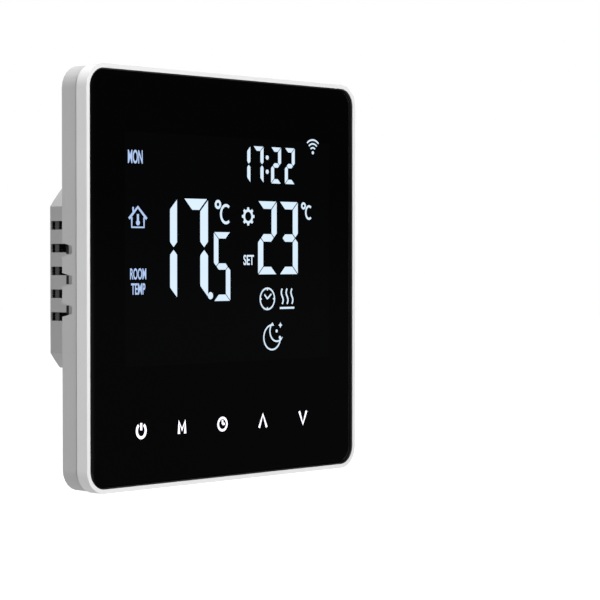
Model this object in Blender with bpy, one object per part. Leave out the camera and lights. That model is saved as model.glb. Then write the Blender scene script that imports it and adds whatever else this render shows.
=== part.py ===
"""A flush wall thermostat with a touch glass front, as an assembly of its real pieces.

Sizes are in millimetres here and the mesh helpers turn them into metres. The glass faces -Y, +Z is
up, and the origin is on the wall plane (y = 0), behind the middle of the face. What lies behind the
wall plane goes into a round wall box. Two groups come apart: the front unit pulls off along -Y, and
the rear unit stays on the wall.
"""

from math import acos, asin, cos, pi, sin

import bmesh
import bpy
from mathutils import Matrix

MM = 0.001
GAP = 0.3

# Face and thickness in front of the wall.
FACE_WIDTH = 86.0
FACE_HEIGHT = 90.0
FACE_CORNER = 5.0
EXPOSED_DEPTH = 7.8
FRAME_DEPTH = 3.1
LIP_WIDTH = 0.9
LIP_ROUND = 0.25
RIM_INSET = 0.2
WALL = 1.6

# Box behind the wall: a cylinder with four flats.
BOX_RADIUS = 28.5
BOX_HALF_WIDTH = 23.3
BOX_HALF_HEIGHT = 25.0
BOX_CENTRE_Z = -0.5
BOX_DEPTH = 25.6
STEP_Z = -20.3
STEP_DEPTH = 10.0

# Depths through the front unit, from the lip towards the wall.
LIP_Y = -EXPOSED_DEPTH
SEAM_Y = LIP_Y + FRAME_DEPTH
GLASS_Y = LIP_Y + 0.1
GLASS_THICKNESS = 1.1
GLASS_BEVEL = 1.0
GLASS_BEVEL_DROP = 0.35
TAPE_Y = GLASS_Y + GLASS_THICKNESS + GAP
TAPE_THICKNESS = 0.3
SHELF_Y = TAPE_Y + TAPE_THICKNESS + GAP
SHELF_THICKNESS = 0.8
LCD_Y = TAPE_Y
LCD_THICKNESS = 1.5
GUIDE_Y = LCD_Y + LCD_THICKNESS + GAP
GUIDE_THICKNESS = 0.9
SHEET_Y = GUIDE_Y + GUIDE_THICKNESS + GAP
SHEET_THICKNESS = 0.15
BOARD_Y = SHEET_Y + SHEET_THICKNESS + GAP
BOARD_THICKNESS = 0.8
CHIP_Y = BOARD_Y + BOARD_THICKNESS + GAP
SKIRT_END = -2.2
SKIRT_WALL = 1.1
FLANGE_THICKNESS = 1.2

# Display window and keys.
LCD_WIDTH = 68.0
LCD_HEIGHT = 54.0
LCD_CENTRE = (0.8, 6.2)
KEY_PITCH = 13.0
KEY_COUNT = 5
KEY_CENTRE = (-1.6, -32.4)
KEY_HOLE = 4.6

# Vents and notches.
VENT_COUNT = 5
VENT_PITCH = 5.1
VENT_HEIGHT = 1.92
VENT_CENTRE_Z = 1.5
VENT_START = 9.0
VENT_END = BOX_DEPTH - 0.3
NOTCH_COUNT = 3
NOTCH_PITCH = 6.3
NOTCH_CENTRE_Z = -0.2
NOTCH_DEPTH = 3.0
NOTCH_REAR_HALF = 1.55
NOTCH_FRONT_HALF = 0.8

# Holes for the wall screws: a round hole on the left and a slot on the right, 60 mm apart.
WALL_SCREW_SPACING = 60.0
WALL_SCREW_HOLE = 2.3

# Boards, posts and the plug between the two units.
COVER_Y = 2.0
COVER_THICKNESS = 1.2
POWER_Y = 8.0
POWER_THICKNESS = 1.6
PARTS_Y = POWER_Y + POWER_THICKNESS + GAP
POSTS = ((-16.0, 16.5), (16.0, 16.5), (-13.0, -20.5), (13.0, -20.5))
POST_RADIUS = 2.0
POST_SHOULDER = 3.2
PLUG_Z = 9.0
PLUG_PINS = 8
PLUG_PITCH = 2.54
PLUG_HALF_HEIGHT = 1.27
PLUG_STRIP = 2.4
PIN_HALF = 0.3
PIN_REACH = 8.0

# Hooks that hold the display board.
HOOK_HEIGHTS = (-22.0, 22.0)
HOOK_HALF_LENGTH = 3.0
HOOK_ARM = 0.2
HOOK_STOP = 0.9
HOOK_NOSE = 1.8

# Parts on the back of the display board: middle (x, z), width, height, thickness.
CONTROLLER = ((-8.0, -2.0), 10.0, 10.0, 1.4)
MODULE = ((10.0, -6.5), 16.0, 23.0, 0.8)
SHIELD = ((10.0, -9.6), 15.0, 15.6, 1.6)
BUZZER_CENTRE = (-11.0, -15.0)
BUZZER_RADIUS = 4.5
BUZZER_HEIGHT = 2.4
SENSOR_X = -37.2
SENSOR_RADIUS = 0.9
SENSOR_LEG_SPACING = 0.9
SENSOR_LEG_END = -8.0

# Parts on the power board: middle (x, z), width, height, and the depth that they reach.
RELAY = ((-12.9, 2.7), 15.4, 19.0, 22.9)
CORE_CENTRE = (11.6, 1.0)
CORE_OUTER = (14.0, 13.0)
CORE_WINDOW = (9.4, 7.6)
CORE_DEPTHS = (13.0, 19.4)
BOBBIN_FLANGE = (13.0, 11.0)
BOBBIN_WINDING = (8.6, 6.8)
BOBBIN_DEPTHS = (11.4, 21.0, 22.2)
FILM = ((-1.2, -0.4), 5.6, 12.6, 20.4)
FUSE = ((-7.9, 15.4), 6.4, 4.0, 17.9)
CANS = (((7.6, 14.2), 4.0, 21.5), ((-0.7, 15.2), 2.6, 20.9))
VARISTOR_CENTRE = (-13.0, 0.0)
VARISTOR_RADIUS = 4.2
VARISTOR_FRONT = 4.4
RECTIFIER = ((12.0, -2.75), 8.0, 6.5, 2.6)

# Terminals.
TERMINAL_COUNT = 5
TERMINAL_PITCH = 7.62
TERMINAL_Z = -15.9
TERMINAL_HALF_WIDTH = 19.3
TERMINAL_LOW = -19.8
TERMINAL_HIGH = -8.2
TERMINAL_REAR = 24.9
CHAMBER_HALF = 3.1
CAGE_HALF = 2.8
CAGE_WALL = 0.65
CAGE_DEPTHS = (11.2, 19.2)
CAGE_HEIGHTS = (-18.4, -13.4)
CAGE_BORE_DEPTHS = (12.0, 17.9)
SCREW_HEAD_Y = 23.6
SCREW_HEAD = 2.5
SCREW_HEAD_END = 24.8
SCREW_SHANK = 1.3
SCREW_TIP_Y = 17.7
SCREW_SLOT_HALF = 0.4
SCREW_SLOT_Y = 24.1
BAR_HALF = 0.6
BAR_PIN_Z = -10.9

FINISHES = {
    "frame_white": ((0.62, 0.62, 0.62), 0.42, 0.0),
    "housing_grey": ((0.42, 0.42, 0.42), 0.5, 0.0),
    "black_glass": ((0.004, 0.004, 0.005), 0.05, 0.0),
    "lcd_black": ((0.01, 0.011, 0.014), 0.12, 0.0),
    "clear_guide": ((0.75, 0.8, 0.85), 0.2, 0.0),
    "white_film": ((0.8, 0.8, 0.8), 0.6, 0.0),
    "black_plastic": ((0.02, 0.02, 0.02), 0.45, 0.0),
    "board_green": ((0.01, 0.09, 0.04), 0.4, 0.0),
    "tape_black": ((0.015, 0.015, 0.015), 0.85, 0.0),
    "bright_steel": ((0.6, 0.6, 0.61), 0.3, 1.0),
    "tin": ((0.65, 0.65, 0.64), 0.35, 1.0),
    "ferrite": ((0.05, 0.05, 0.052), 0.6, 0.0),
    "winding_tape": ((0.75, 0.6, 0.08), 0.5, 0.0),
    "relay_case": ((0.02, 0.02, 0.022), 0.35, 0.0),
    "capacitor_box": ((0.75, 0.55, 0.05), 0.4, 0.0),
    "capacitor_sleeve": ((0.02, 0.02, 0.03), 0.3, 0.0),
    "varistor_blue": ((0.02, 0.08, 0.3), 0.45, 0.0),
    "terminal_green": ((0.03, 0.25, 0.1), 0.5, 0.0),
    "sensor_epoxy": ((0.012, 0.012, 0.012), 0.35, 0.0),
    "led_white": ((0.85, 0.85, 0.8), 0.3, 0.0),
}


# ---------------------------------------------------------------- helpers


def clear_scene():
    for found in list(bpy.data.objects):
        bpy.data.objects.remove(found, do_unlink=True)


def finish(name):
    made = bpy.data.materials.get(name)
    if made:
        return made
    colour, roughness, metallic = FINISHES[name]
    made = bpy.data.materials.new(name)
    made.use_nodes = True
    shader = made.node_tree.nodes["Principled BSDF"]
    shader.inputs["Base Color"].default_value = (*colour, 1.0)
    shader.inputs["Roughness"].default_value = roughness
    shader.inputs["Metallic"].default_value = metallic
    return made


def unit(name):
    holder = bpy.data.objects.new(name, None)
    bpy.context.collection.objects.link(holder)
    return holder


def outline(width, height, corner, centre=(0.0, 0.0), steps=6):
    """Points of a rounded rectangle in the XZ plane."""
    points = []
    for quarter in range(4):
        side = 1 if quarter in (0, 3) else -1
        rise = 1 if quarter in (0, 1) else -1
        for step in range(steps + 1):
            angle = pi / 2 * (quarter + step / steps)
            x = centre[0] + side * (width / 2 - corner) + corner * cos(angle)
            z = centre[1] + rise * (height / 2 - corner) + corner * sin(angle)
            points.append((x, z))
    return points


def face_outline(inset):
    corner = max(FACE_CORNER - inset, 1.0)
    return outline(FACE_WIDTH - 2 * inset, FACE_HEIGHT - 2 * inset, corner)


def circle(radius, centre=(0.0, 0.0), sides=16):
    turns = [2 * pi * (i + 0.5) / sides for i in range(sides)]
    return [(centre[0] + radius * cos(t), centre[1] + radius * sin(t)) for t in turns]


def box_outline(inset, top=BOX_HALF_HEIGHT, bottom=BOX_HALF_HEIGHT, steps=7):
    """The wall box's section: a circle cut by two upright flats, and flat at the top and bottom."""
    radius = BOX_RADIUS - inset
    flat = acos((BOX_HALF_WIDTH - inset) / radius)
    high = asin(top / radius)
    low = asin(bottom / radius)
    points = []
    for first, last in ((flat, high), (pi - high, pi - flat), (pi + flat, pi + low), (-low, -flat)):
        for step in range(steps + 1):
            angle = first + (last - first) * step / steps
            points.append((radius * cos(angle), BOX_CENTRE_Z + radius * sin(angle)))
    return points


def add_loft(shape, sections):
    """Closed solid through sections of equally many points, each (points, y), capped at both ends."""
    loops = []
    for points, y in sections:
        loops.append([shape.verts.new((x * MM, y * MM, z * MM)) for x, z in points])
    for here, there in zip(loops, loops[1:]):
        for i in range(len(here)):
            shape.faces.new((here[i - 1], here[i], there[i], there[i - 1]))
    shape.faces.new(loops[0])
    shape.faces.new(list(reversed(loops[-1])))


def add_prism(shape, points, low_y, high_y):
    add_loft(shape, [(points, low_y), (points, high_y)])


def add_ring(shape, outer, inner, low_y, high_y):
    """Closed tube between two outlines with equally many points."""
    sections = [(outer, low_y), (inner, low_y), (inner, high_y), (outer, high_y)]
    loops = []
    for points, y in sections:
        loops.append([shape.verts.new((x * MM, y * MM, z * MM)) for x, z in points])
    for here, there in zip(loops, loops[1:] + loops[:1]):
        for i in range(len(here)):
            shape.faces.new((here[i - 1], here[i], there[i], there[i - 1]))


def add_block(shape, x, y, z):
    add_prism(shape, [(x[0], z[0]), (x[1], z[0]), (x[1], z[1]), (x[0], z[1])], y[0], y[1])


def add_side_prism(shape, points, low_x, high_x):
    """Prism along X from (y, z) points."""
    loops = []
    for x in (low_x, high_x):
        loops.append([shape.verts.new((x * MM, y * MM, z * MM)) for y, z in points])
    for i in range(len(points)):
        shape.faces.new((loops[0][i - 1], loops[0][i], loops[1][i], loops[1][i - 1]))
    shape.faces.new(loops[0])
    shape.faces.new(list(reversed(loops[1])))


def mesh_from(shape, name):
    bmesh.ops.recalc_face_normals(shape, faces=shape.faces)
    mesh = bpy.data.meshes.new(name)
    shape.to_mesh(mesh)
    shape.free()
    return mesh


def piece(name, shape, finish_name, parent, origin=(0.0, 0.0, 0.0), smooth=False):
    """A node. Its mesh is given in the assembly's frame, and its origin is put at the point given."""
    mesh = mesh_from(shape, name)
    mesh.transform(Matrix.Translation([-value * MM for value in origin]))
    mesh.materials.append(finish(finish_name))
    if smooth:
        mesh.shade_smooth()
        mesh.set_sharp_from_angle(angle=pi / 5)
    made = bpy.data.objects.new(name, mesh)
    bpy.context.collection.objects.link(made)
    made.parent = parent
    made.location = [value * MM for value in origin]
    return made


def boolean(target, shape, operation, label):
    helper = bpy.data.objects.new(target.name + "_" + label, mesh_from(shape, target.name + "_" + label))
    bpy.context.collection.objects.link(helper)
    helper.hide_render = True
    helper.display_type = "WIRE"
    helper.parent = target.parent
    modifier = target.modifiers.new(label, "BOOLEAN")
    modifier.operation = operation
    modifier.object = helper
    modifier.solver = "EXACT"


def key_centres():
    first = KEY_CENTRE[0] - KEY_PITCH * (KEY_COUNT - 1) / 2
    return [(first + KEY_PITCH * i, KEY_CENTRE[1]) for i in range(KEY_COUNT)]


def terminal_centres():
    first = -TERMINAL_PITCH * (TERMINAL_COUNT - 1) / 2
    return [first + TERMINAL_PITCH * i for i in range(TERMINAL_COUNT)]


def pin_centres():
    first = -PLUG_PITCH * (PLUG_PINS - 1) / 2
    return [first + PLUG_PITCH * i for i in range(PLUG_PINS)]


def lcd_area(margin):
    """Low and high x and z of the display panel, grown by a margin."""
    x, z = LCD_CENTRE
    half_width = LCD_WIDTH / 2 + margin
    half_height = LCD_HEIGHT / 2 + margin
    return (x - half_width, x + half_width), (z - half_height, z + half_height)


# ---------------------------------------------------------------- front unit


def touch_glass(front):
    """Sheet of glass whose front edge is ground to a shallow slope all round."""
    edge = LIP_WIDTH + GAP
    shape = bmesh.new()
    add_loft(shape, [
        (face_outline(edge + GLASS_BEVEL), GLASS_Y),
        (face_outline(edge), GLASS_Y + GLASS_BEVEL_DROP),
        (face_outline(edge), GLASS_Y + GLASS_THICKNESS),
    ])
    piece("touch_glass", shape, "black_glass", front, smooth=True)


def glass_tape(front):
    """Band of double-sided tape between the glass and the frame's shelf."""
    shape = bmesh.new()
    add_ring(shape, face_outline(1.5), face_outline(4.0), TAPE_Y, TAPE_Y + TAPE_THICKNESS)
    piece("glass_tape", shape, "tape_black", front)


def front_frame(front):
    """Frame with a lip round the glass, a shelf behind it and a skirt that slips into the rim."""
    skirt = RIM_INSET + WALL + GAP
    shape = bmesh.new()
    add_loft(shape, [
        (face_outline(LIP_WIDTH), SHELF_Y),
        (face_outline(LIP_WIDTH), LIP_Y),
        (face_outline(LIP_ROUND), LIP_Y),
        (face_outline(0.0), LIP_Y + LIP_ROUND),
        (face_outline(0.0), SEAM_Y),
        (face_outline(skirt), SEAM_Y),
        (face_outline(skirt), SKIRT_END),
        (face_outline(skirt + SKIRT_WALL), SKIRT_END),
        (face_outline(skirt + SKIRT_WALL), SHELF_Y + SHELF_THICKNESS),
    ])
    made = piece("front_frame", shape, "frame_white", front)
    windows = bmesh.new()
    across, up = lcd_area(0.5)
    add_block(windows, across, (SHELF_Y - 1, SEAM_Y + 1), up)
    for centre in key_centres():
        add_prism(windows, circle(KEY_HOLE, centre), SHELF_Y - 1, SEAM_Y + 1)
    boolean(made, windows, "DIFFERENCE", "windows")
    boolean(made, board_hooks(skirt + SKIRT_WALL), "UNION", "hooks")


def board_hooks(skirt_inside):
    """Four hooks on the skirt that hold the display board at its sides."""
    inside = FACE_WIDTH / 2 - skirt_inside
    end = CHIP_Y + 0.25
    hooks = bmesh.new()
    for side in (-1, 1):
        for height in HOOK_HEIGHTS:
            bent = [
                (inside + 0.5, SHELF_Y + 0.4),
                (inside - HOOK_STOP, SHELF_Y + 0.4),
                (inside - HOOK_STOP, CHIP_Y),
                (inside - HOOK_NOSE, CHIP_Y),
                (inside - HOOK_NOSE, end),
                (inside - HOOK_ARM, end),
                (inside - HOOK_ARM, SKIRT_END - 0.6),
                (inside + 0.5, SKIRT_END - 0.6),
            ]
            loops = []
            for z in (height - HOOK_HALF_LENGTH, height + HOOK_HALF_LENGTH):
                loops.append([hooks.verts.new((side * x * MM, y * MM, z * MM)) for x, y in bent])
            for i in range(len(bent)):
                hooks.faces.new((loops[0][i - 1], loops[0][i], loops[1][i], loops[1][i - 1]))
            hooks.faces.new(loops[0])
            hooks.faces.new(list(reversed(loops[1])))
    return hooks


def display_stack(front):
    """Segment display, its light guide with the lamps at one edge, and a white reflector sheet."""
    across, up = lcd_area(0.0)
    panel = bmesh.new()
    add_block(panel, across, (LCD_Y, LCD_Y + LCD_THICKNESS), up)
    piece("lcd_panel", panel, "lcd_black", front)
    guide = bmesh.new()
    add_block(guide, (across[0] + 1.3, across[1]), (GUIDE_Y, GUIDE_Y + GUIDE_THICKNESS), up)
    piece("light_guide", guide, "clear_guide", front)
    lamps = bmesh.new()
    add_prism(lamps, lamp_bar(across[0]), GUIDE_Y, GUIDE_Y + 0.8)
    piece("backlight_bar", lamps, "led_white", front)
    sheet = bmesh.new()
    add_block(sheet, across, (SHEET_Y, SHEET_Y + SHEET_THICKNESS), up)
    piece("reflector_sheet", sheet, "white_film", front)


def lamp_bar(x, lamps=3, spacing=16.0):
    """Outline of a narrow strip with lamps that stand out towards the light guide."""
    half = spacing * (lamps - 1) / 2 + 4.0
    points = [(x, LCD_CENTRE[1] - half), (x + 0.5, LCD_CENTRE[1] - half)]
    for step in range(lamps):
        z = LCD_CENTRE[1] + spacing * (step - (lamps - 1) / 2)
        points += [(x + 0.5, z - 1.5), (x + 1.0, z - 1.5), (x + 1.0, z + 1.5), (x + 0.5, z + 1.5)]
    points += [(x + 0.5, LCD_CENTRE[1] + half), (x, LCD_CENTRE[1] + half)]
    return points


def lcd_holder(front):
    """Plastic frame on the board that keeps the display stack in its place."""
    inner = outline(LCD_WIDTH + 1.2, LCD_HEIGHT + 1.2, 0.6, LCD_CENTRE, steps=2)
    outer = outline(LCD_WIDTH + 5.2, LCD_HEIGHT + 5.2, 1.4, LCD_CENTRE, steps=2)
    shape = bmesh.new()
    add_ring(shape, outer, inner, SHELF_Y + SHELF_THICKNESS + GAP, SHEET_Y + SHEET_THICKNESS)
    piece("lcd_holder", shape, "white_film", front)


def display_board(front):
    """Circuit board with a cut-out at each side that clears a wall screw's head."""
    shape = bmesh.new()
    add_prism(shape, outline(77.2, 80.8, 3.0, steps=3), BOARD_Y, BOARD_Y + BOARD_THICKNESS)
    made = piece("display_board", shape, "board_green", front)
    reliefs = bmesh.new()
    for side in (-1, 1):
        add_block(reliefs, sorted((side * 25.5, side * 42.0)), (BOARD_Y - 1, BOARD_Y + 2), (-4.5, 4.5))
    boolean(made, reliefs, "DIFFERENCE", "reliefs")


def touch_keys(front):
    """Behind each key, a sprung coil reaches from the board to the glass, round a small lamp."""
    for number, (x, z) in enumerate(key_centres(), 1):
        name = f"key_spring_{number}"
        coil = bmesh.new()
        add_coil(coil, x, z)
        piece(name, coil, "bright_steel", front, origin=(x, BOARD_Y, z), smooth=True)
        lamp = bmesh.new()
        add_block(lamp, (x - 1.0, x + 1.0), (BOARD_Y - GAP - 0.7, BOARD_Y - GAP), (z - 0.6, z + 0.6))
        piece(f"key_led_{number}", lamp, "led_white", front)
    block = bmesh.new()
    low = SHELF_Y + SHELF_THICKNESS + GAP
    high = BOARD_Y - GAP
    add_block(block, (-35.0, 33.0), (low, high), (KEY_CENTRE[1] - 5.4, KEY_CENTRE[1] + 5.4))
    made = piece("key_light_block", block, "black_plastic", front)
    shafts = bmesh.new()
    for centre in key_centres():
        add_prism(shafts, circle(KEY_HOLE, centre), low - 1, high + 1)
    boolean(made, shafts, "DIFFERENCE", "shafts")


def add_coil(shape, x, z, radius=3.3, wire=0.22, turns=3.0, steps=12, sides=5):
    """Round wire wound along Y, from just off the board to just off the glass."""
    low = TAPE_Y + wire
    high = BOARD_Y - GAP - wire
    rings = []
    for step in range(int(turns * steps) + 1):
        angle = 2 * pi * step / steps
        centre_y = low + (high - low) * step / (turns * steps)
        ring = []
        for side in range(sides):
            around = 2 * pi * side / sides
            away = radius + wire * cos(around)
            point = (x + away * cos(angle), centre_y + wire * sin(around), z + away * sin(angle))
            ring.append(shape.verts.new([value * MM for value in point]))
        rings.append(ring)
    for here, there in zip(rings, rings[1:]):
        for i in range(sides):
            shape.faces.new((here[i - 1], here[i], there[i], there[i - 1]))
    shape.faces.new(rings[0])
    shape.faces.new(list(reversed(rings[-1])))


def chip_outline(part, corner=0.05, shrink=0.0):
    """Outline of a part given as middle, width, height and thickness."""
    centre, width, height, _ = part
    return outline(width - 2 * shrink, height - 2 * shrink, corner, centre, steps=2)


def board_parts(front):
    """What is soldered to the back of the display board, and the sensor at its left edge."""
    chip = bmesh.new()
    add_prism(chip, chip_outline(CONTROLLER), CHIP_Y, CHIP_Y + CONTROLLER[3])
    piece("microcontroller", chip, "black_plastic", front)
    module = bmesh.new()
    add_prism(module, chip_outline(MODULE), CHIP_Y, CHIP_Y + MODULE[3])
    piece("wireless_module", module, "board_green", front)
    can = bmesh.new()
    low = CHIP_Y + MODULE[3] + GAP
    add_loft(can, [
        (chip_outline(SHIELD, 0.6), low),
        (chip_outline(SHIELD, 0.6), low + SHIELD[3] - 0.2),
        (chip_outline(SHIELD, 0.6, 0.3), low + SHIELD[3]),
    ])
    piece("wireless_shield", can, "tin", front)
    sounder = bmesh.new()
    add_prism(sounder, circle(BUZZER_RADIUS, BUZZER_CENTRE, 20), CHIP_Y, CHIP_Y + BUZZER_HEIGHT)
    piece("buzzer", sounder, "black_plastic", front, smooth=True)
    add_room_sensor(front)


def add_room_sensor(front):
    """Bead thermistor in the board's left cut-out, behind the notches, on two legs."""
    x = SENSOR_X
    y = BOARD_Y - GAP - 0.3
    bead = bmesh.new()
    bmesh.ops.create_uvsphere(bead, u_segments=10, v_segments=6, radius=SENSOR_RADIUS * MM)
    bmesh.ops.scale(bead, vec=(1.0, 1.0, 1.35), verts=bead.verts)
    bmesh.ops.translate(bead, vec=(x * MM, y * MM, 0.0), verts=bead.verts)
    made = piece("room_sensor", bead, "sensor_epoxy", front, smooth=True)
    legs = bmesh.new()
    for leg in (x - SENSOR_LEG_SPACING / 2, x + SENSOR_LEG_SPACING / 2):
        add_block(legs, (leg - 0.15, leg + 0.15), (y - 0.15, y + 0.15), (SENSOR_LEG_END, -0.5))
    boolean(made, legs, "UNION", "legs")


def plug(front):
    """Row of square pins moulded into a plastic strip, on the back of the display board."""
    strip = bmesh.new()
    half = PLUG_PITCH * PLUG_PINS / 2
    up = (PLUG_Z - PLUG_HALF_HEIGHT, PLUG_Z + PLUG_HALF_HEIGHT)
    add_block(strip, (-half, half), (CHIP_Y, CHIP_Y + PLUG_STRIP), up)
    made = piece("pin_plug", strip, "black_plastic", front)
    pins = bmesh.new()
    for x in pin_centres():
        across, up = (x - PIN_HALF, x + PIN_HALF), (PLUG_Z - PIN_HALF, PLUG_Z + PIN_HALF)
        add_block(pins, across, (CHIP_Y + 0.4, CHIP_Y + PIN_REACH), up)
    boolean(made, pins, "UNION", "pins")


# ---------------------------------------------------------------- rear unit


def rear_housing(rear):
    """Rim and flange on the wall, with the deep box behind them, moulded in one."""
    rim = RIM_INSET + WALL
    shape = bmesh.new()
    add_loft(shape, [
        (face_outline(rim), -FLANGE_THICKNESS),
        (face_outline(rim), SEAM_Y + GAP),
        (face_outline(RIM_INSET), SEAM_Y + GAP),
        (face_outline(RIM_INSET), 0.0),
    ])
    made = piece("rear_housing", shape, "housing_grey", rear)
    box = bmesh.new()
    add_prism(box, box_outline(0.0), -FLANGE_THICKNESS / 2, BOX_DEPTH)
    boolean(made, box, "UNION", "box")
    ledge = BOX_CENTRE_Z - STEP_Z - WALL
    upper = bmesh.new()
    add_prism(upper, box_outline(WALL, BOX_HALF_HEIGHT - WALL, ledge), -3.0, BOX_DEPTH - WALL)
    boolean(made, upper, "DIFFERENCE", "room")
    lower = bmesh.new()
    inside = box_outline(WALL, BOX_HALF_HEIGHT - WALL, BOX_HALF_HEIGHT - WALL)
    add_prism(lower, inside, -2.5, STEP_DEPTH - WALL)
    boolean(made, lower, "DIFFERENCE", "wire_step_room")
    boolean(made, housing_cuts(), "DIFFERENCE", "cuts")
    opening = bmesh.new()
    half = TERMINAL_HALF_WIDTH + GAP
    add_block(opening, (-half, half), (STEP_DEPTH, BOX_DEPTH + 1), (STEP_Z - 0.5, TERMINAL_HIGH + GAP))
    boolean(made, opening, "DIFFERENCE", "terminal_opening")
    boolean(made, housing_posts(), "UNION", "posts")
    boolean(made, post_holes(), "DIFFERENCE", "post_holes")


def housing_cuts():
    """Step below the terminals, vents in both sides, notches in the rim and wall screw holes."""
    cuts = bmesh.new()
    add_block(cuts, (-30.0, 30.0), (STEP_DEPTH, BOX_DEPTH + 1), (-30.0, STEP_Z))
    for side in (-1, 1):
        across = sorted((side * (BOX_HALF_WIDTH - WALL - 0.2), side * (BOX_HALF_WIDTH + 1)))
        for step in range(VENT_COUNT):
            z = VENT_CENTRE_Z + VENT_PITCH * (step - (VENT_COUNT - 1) / 2)
            add_block(cuts, across, (VENT_START, VENT_END), (z - VENT_HEIGHT / 2, z + VENT_HEIGHT / 2))
        for step in range(NOTCH_COUNT):
            z = NOTCH_CENTRE_Z + NOTCH_PITCH * (step - (NOTCH_COUNT - 1) / 2)
            flare = [
                (0.5, z + NOTCH_REAR_HALF), (-NOTCH_DEPTH, z + NOTCH_FRONT_HALF),
                (-NOTCH_DEPTH, z - NOTCH_FRONT_HALF), (0.5, z - NOTCH_REAR_HALF),
            ]
            edge = FACE_WIDTH / 2 - RIM_INSET
            low, high = sorted((side * (edge - WALL - 0.2), side * (edge + 1)))
            add_side_prism(cuts, flare, low, high)
    hole_x = WALL_SCREW_SPACING / 2
    add_prism(cuts, circle(WALL_SCREW_HOLE, (-hole_x, 0.0)), -3.0, 1.0)
    slot = outline(2 * WALL_SCREW_HOLE, 10.0, WALL_SCREW_HOLE - 0.01, (hole_x, 0.0), steps=4)
    add_prism(cuts, slot, -3.0, 1.0)
    return cuts


def housing_posts():
    """Posts for the cover screws. The upper pair has a shoulder that the power board rests on."""
    posts = bmesh.new()
    top = COVER_Y + COVER_THICKNESS + GAP
    for x, z in POSTS:
        end = BOX_DEPTH - WALL + 0.4 if z > 0 else STEP_DEPTH - WALL + 0.4
        if z < 0:
            add_prism(posts, circle(POST_RADIUS, (x, z), 12), top, end)
            continue
        add_loft(posts, [
            (circle(POST_RADIUS, (x, z), 12), top),
            (circle(POST_RADIUS, (x, z), 12), PARTS_Y),
            (circle(POST_SHOULDER, (x, z), 12), PARTS_Y),
            (circle(POST_SHOULDER, (x, z), 12), end),
        ])
    return posts


def post_holes():
    holes = bmesh.new()
    top = COVER_Y + COVER_THICKNESS + GAP
    for centre in POSTS:
        add_prism(holes, circle(1.1, centre, 8), top - 1, top + 5.0)
    return holes


def inner_cover(rear):
    """Plate that shuts the mains parts in. The plug's socket shows through its window."""
    low = COVER_Y
    high = COVER_Y + COVER_THICKNESS
    shape = bmesh.new()
    room = BOX_HALF_HEIGHT - WALL - GAP
    add_prism(shape, box_outline(WALL + GAP, room, room), low, high)
    made = piece("inner_cover", shape, "housing_grey", rear)
    holes = bmesh.new()
    half = PLUG_PITCH * PLUG_PINS / 2 + GAP
    window = PLUG_HALF_HEIGHT + GAP
    add_block(holes, (-half, half), (low - 1, high + 1), (PLUG_Z - window, PLUG_Z + window))
    for centre in POSTS:
        add_prism(holes, circle(1.3, centre, 12), low - 1, high + 1)
    boolean(made, holes, "DIFFERENCE", "holes")
    for number, centre in enumerate(POSTS, 1):
        screw = bmesh.new()
        add_loft(screw, [
            (circle(1.5, centre, 12), low - GAP - 1.1),
            (circle(2.0, centre, 12), low - GAP - 0.8),
            (circle(2.0, centre, 12), low - GAP),
            (circle(0.8, centre, 12), low - GAP),
            (circle(0.8, centre, 12), high + GAP + 4.5),
        ])
        piece(f"cover_screw_{number}", screw, "bright_steel", rear, smooth=True)


def socket(rear):
    """Socket on the power board that takes the front unit's pins."""
    half = PLUG_PITCH * PLUG_PINS / 2
    low = CHIP_Y + PLUG_STRIP + GAP
    shape = bmesh.new()
    up = (PLUG_Z - PLUG_HALF_HEIGHT, PLUG_Z + PLUG_HALF_HEIGHT)
    add_block(shape, (-half, half), (low, POWER_Y - GAP), up)
    made = piece("plug_socket", shape, "black_plastic", rear)
    holes = bmesh.new()
    hole = PIN_HALF + GAP
    for x in pin_centres():
        across, up = (x - hole, x + hole), (PLUG_Z - hole, PLUG_Z + hole)
        add_block(holes, across, (low - 1, CHIP_Y + PIN_REACH + 0.5), up)
    boolean(made, holes, "DIFFERENCE", "holes")


def power_board(rear):
    """Mains board. It rests on the two upper posts, and the terminal pins pass through it."""
    shape = bmesh.new()
    add_prism(shape, box_outline(WALL + 0.5, 19.7, 17.8, steps=4), POWER_Y, POWER_Y + POWER_THICKNESS)
    made = piece("power_board", shape, "board_green", rear)
    holes = bmesh.new()
    for centre in POSTS[:2]:
        add_prism(holes, circle(POST_RADIUS + GAP, centre, 12), POWER_Y - 1, POWER_Y + 3)
    for x in terminal_centres():
        add_prism(holes, circle(1.2, (x, BAR_PIN_Z), 8), POWER_Y - 1, POWER_Y + 3)
    boolean(made, holes, "DIFFERENCE", "holes")


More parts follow.
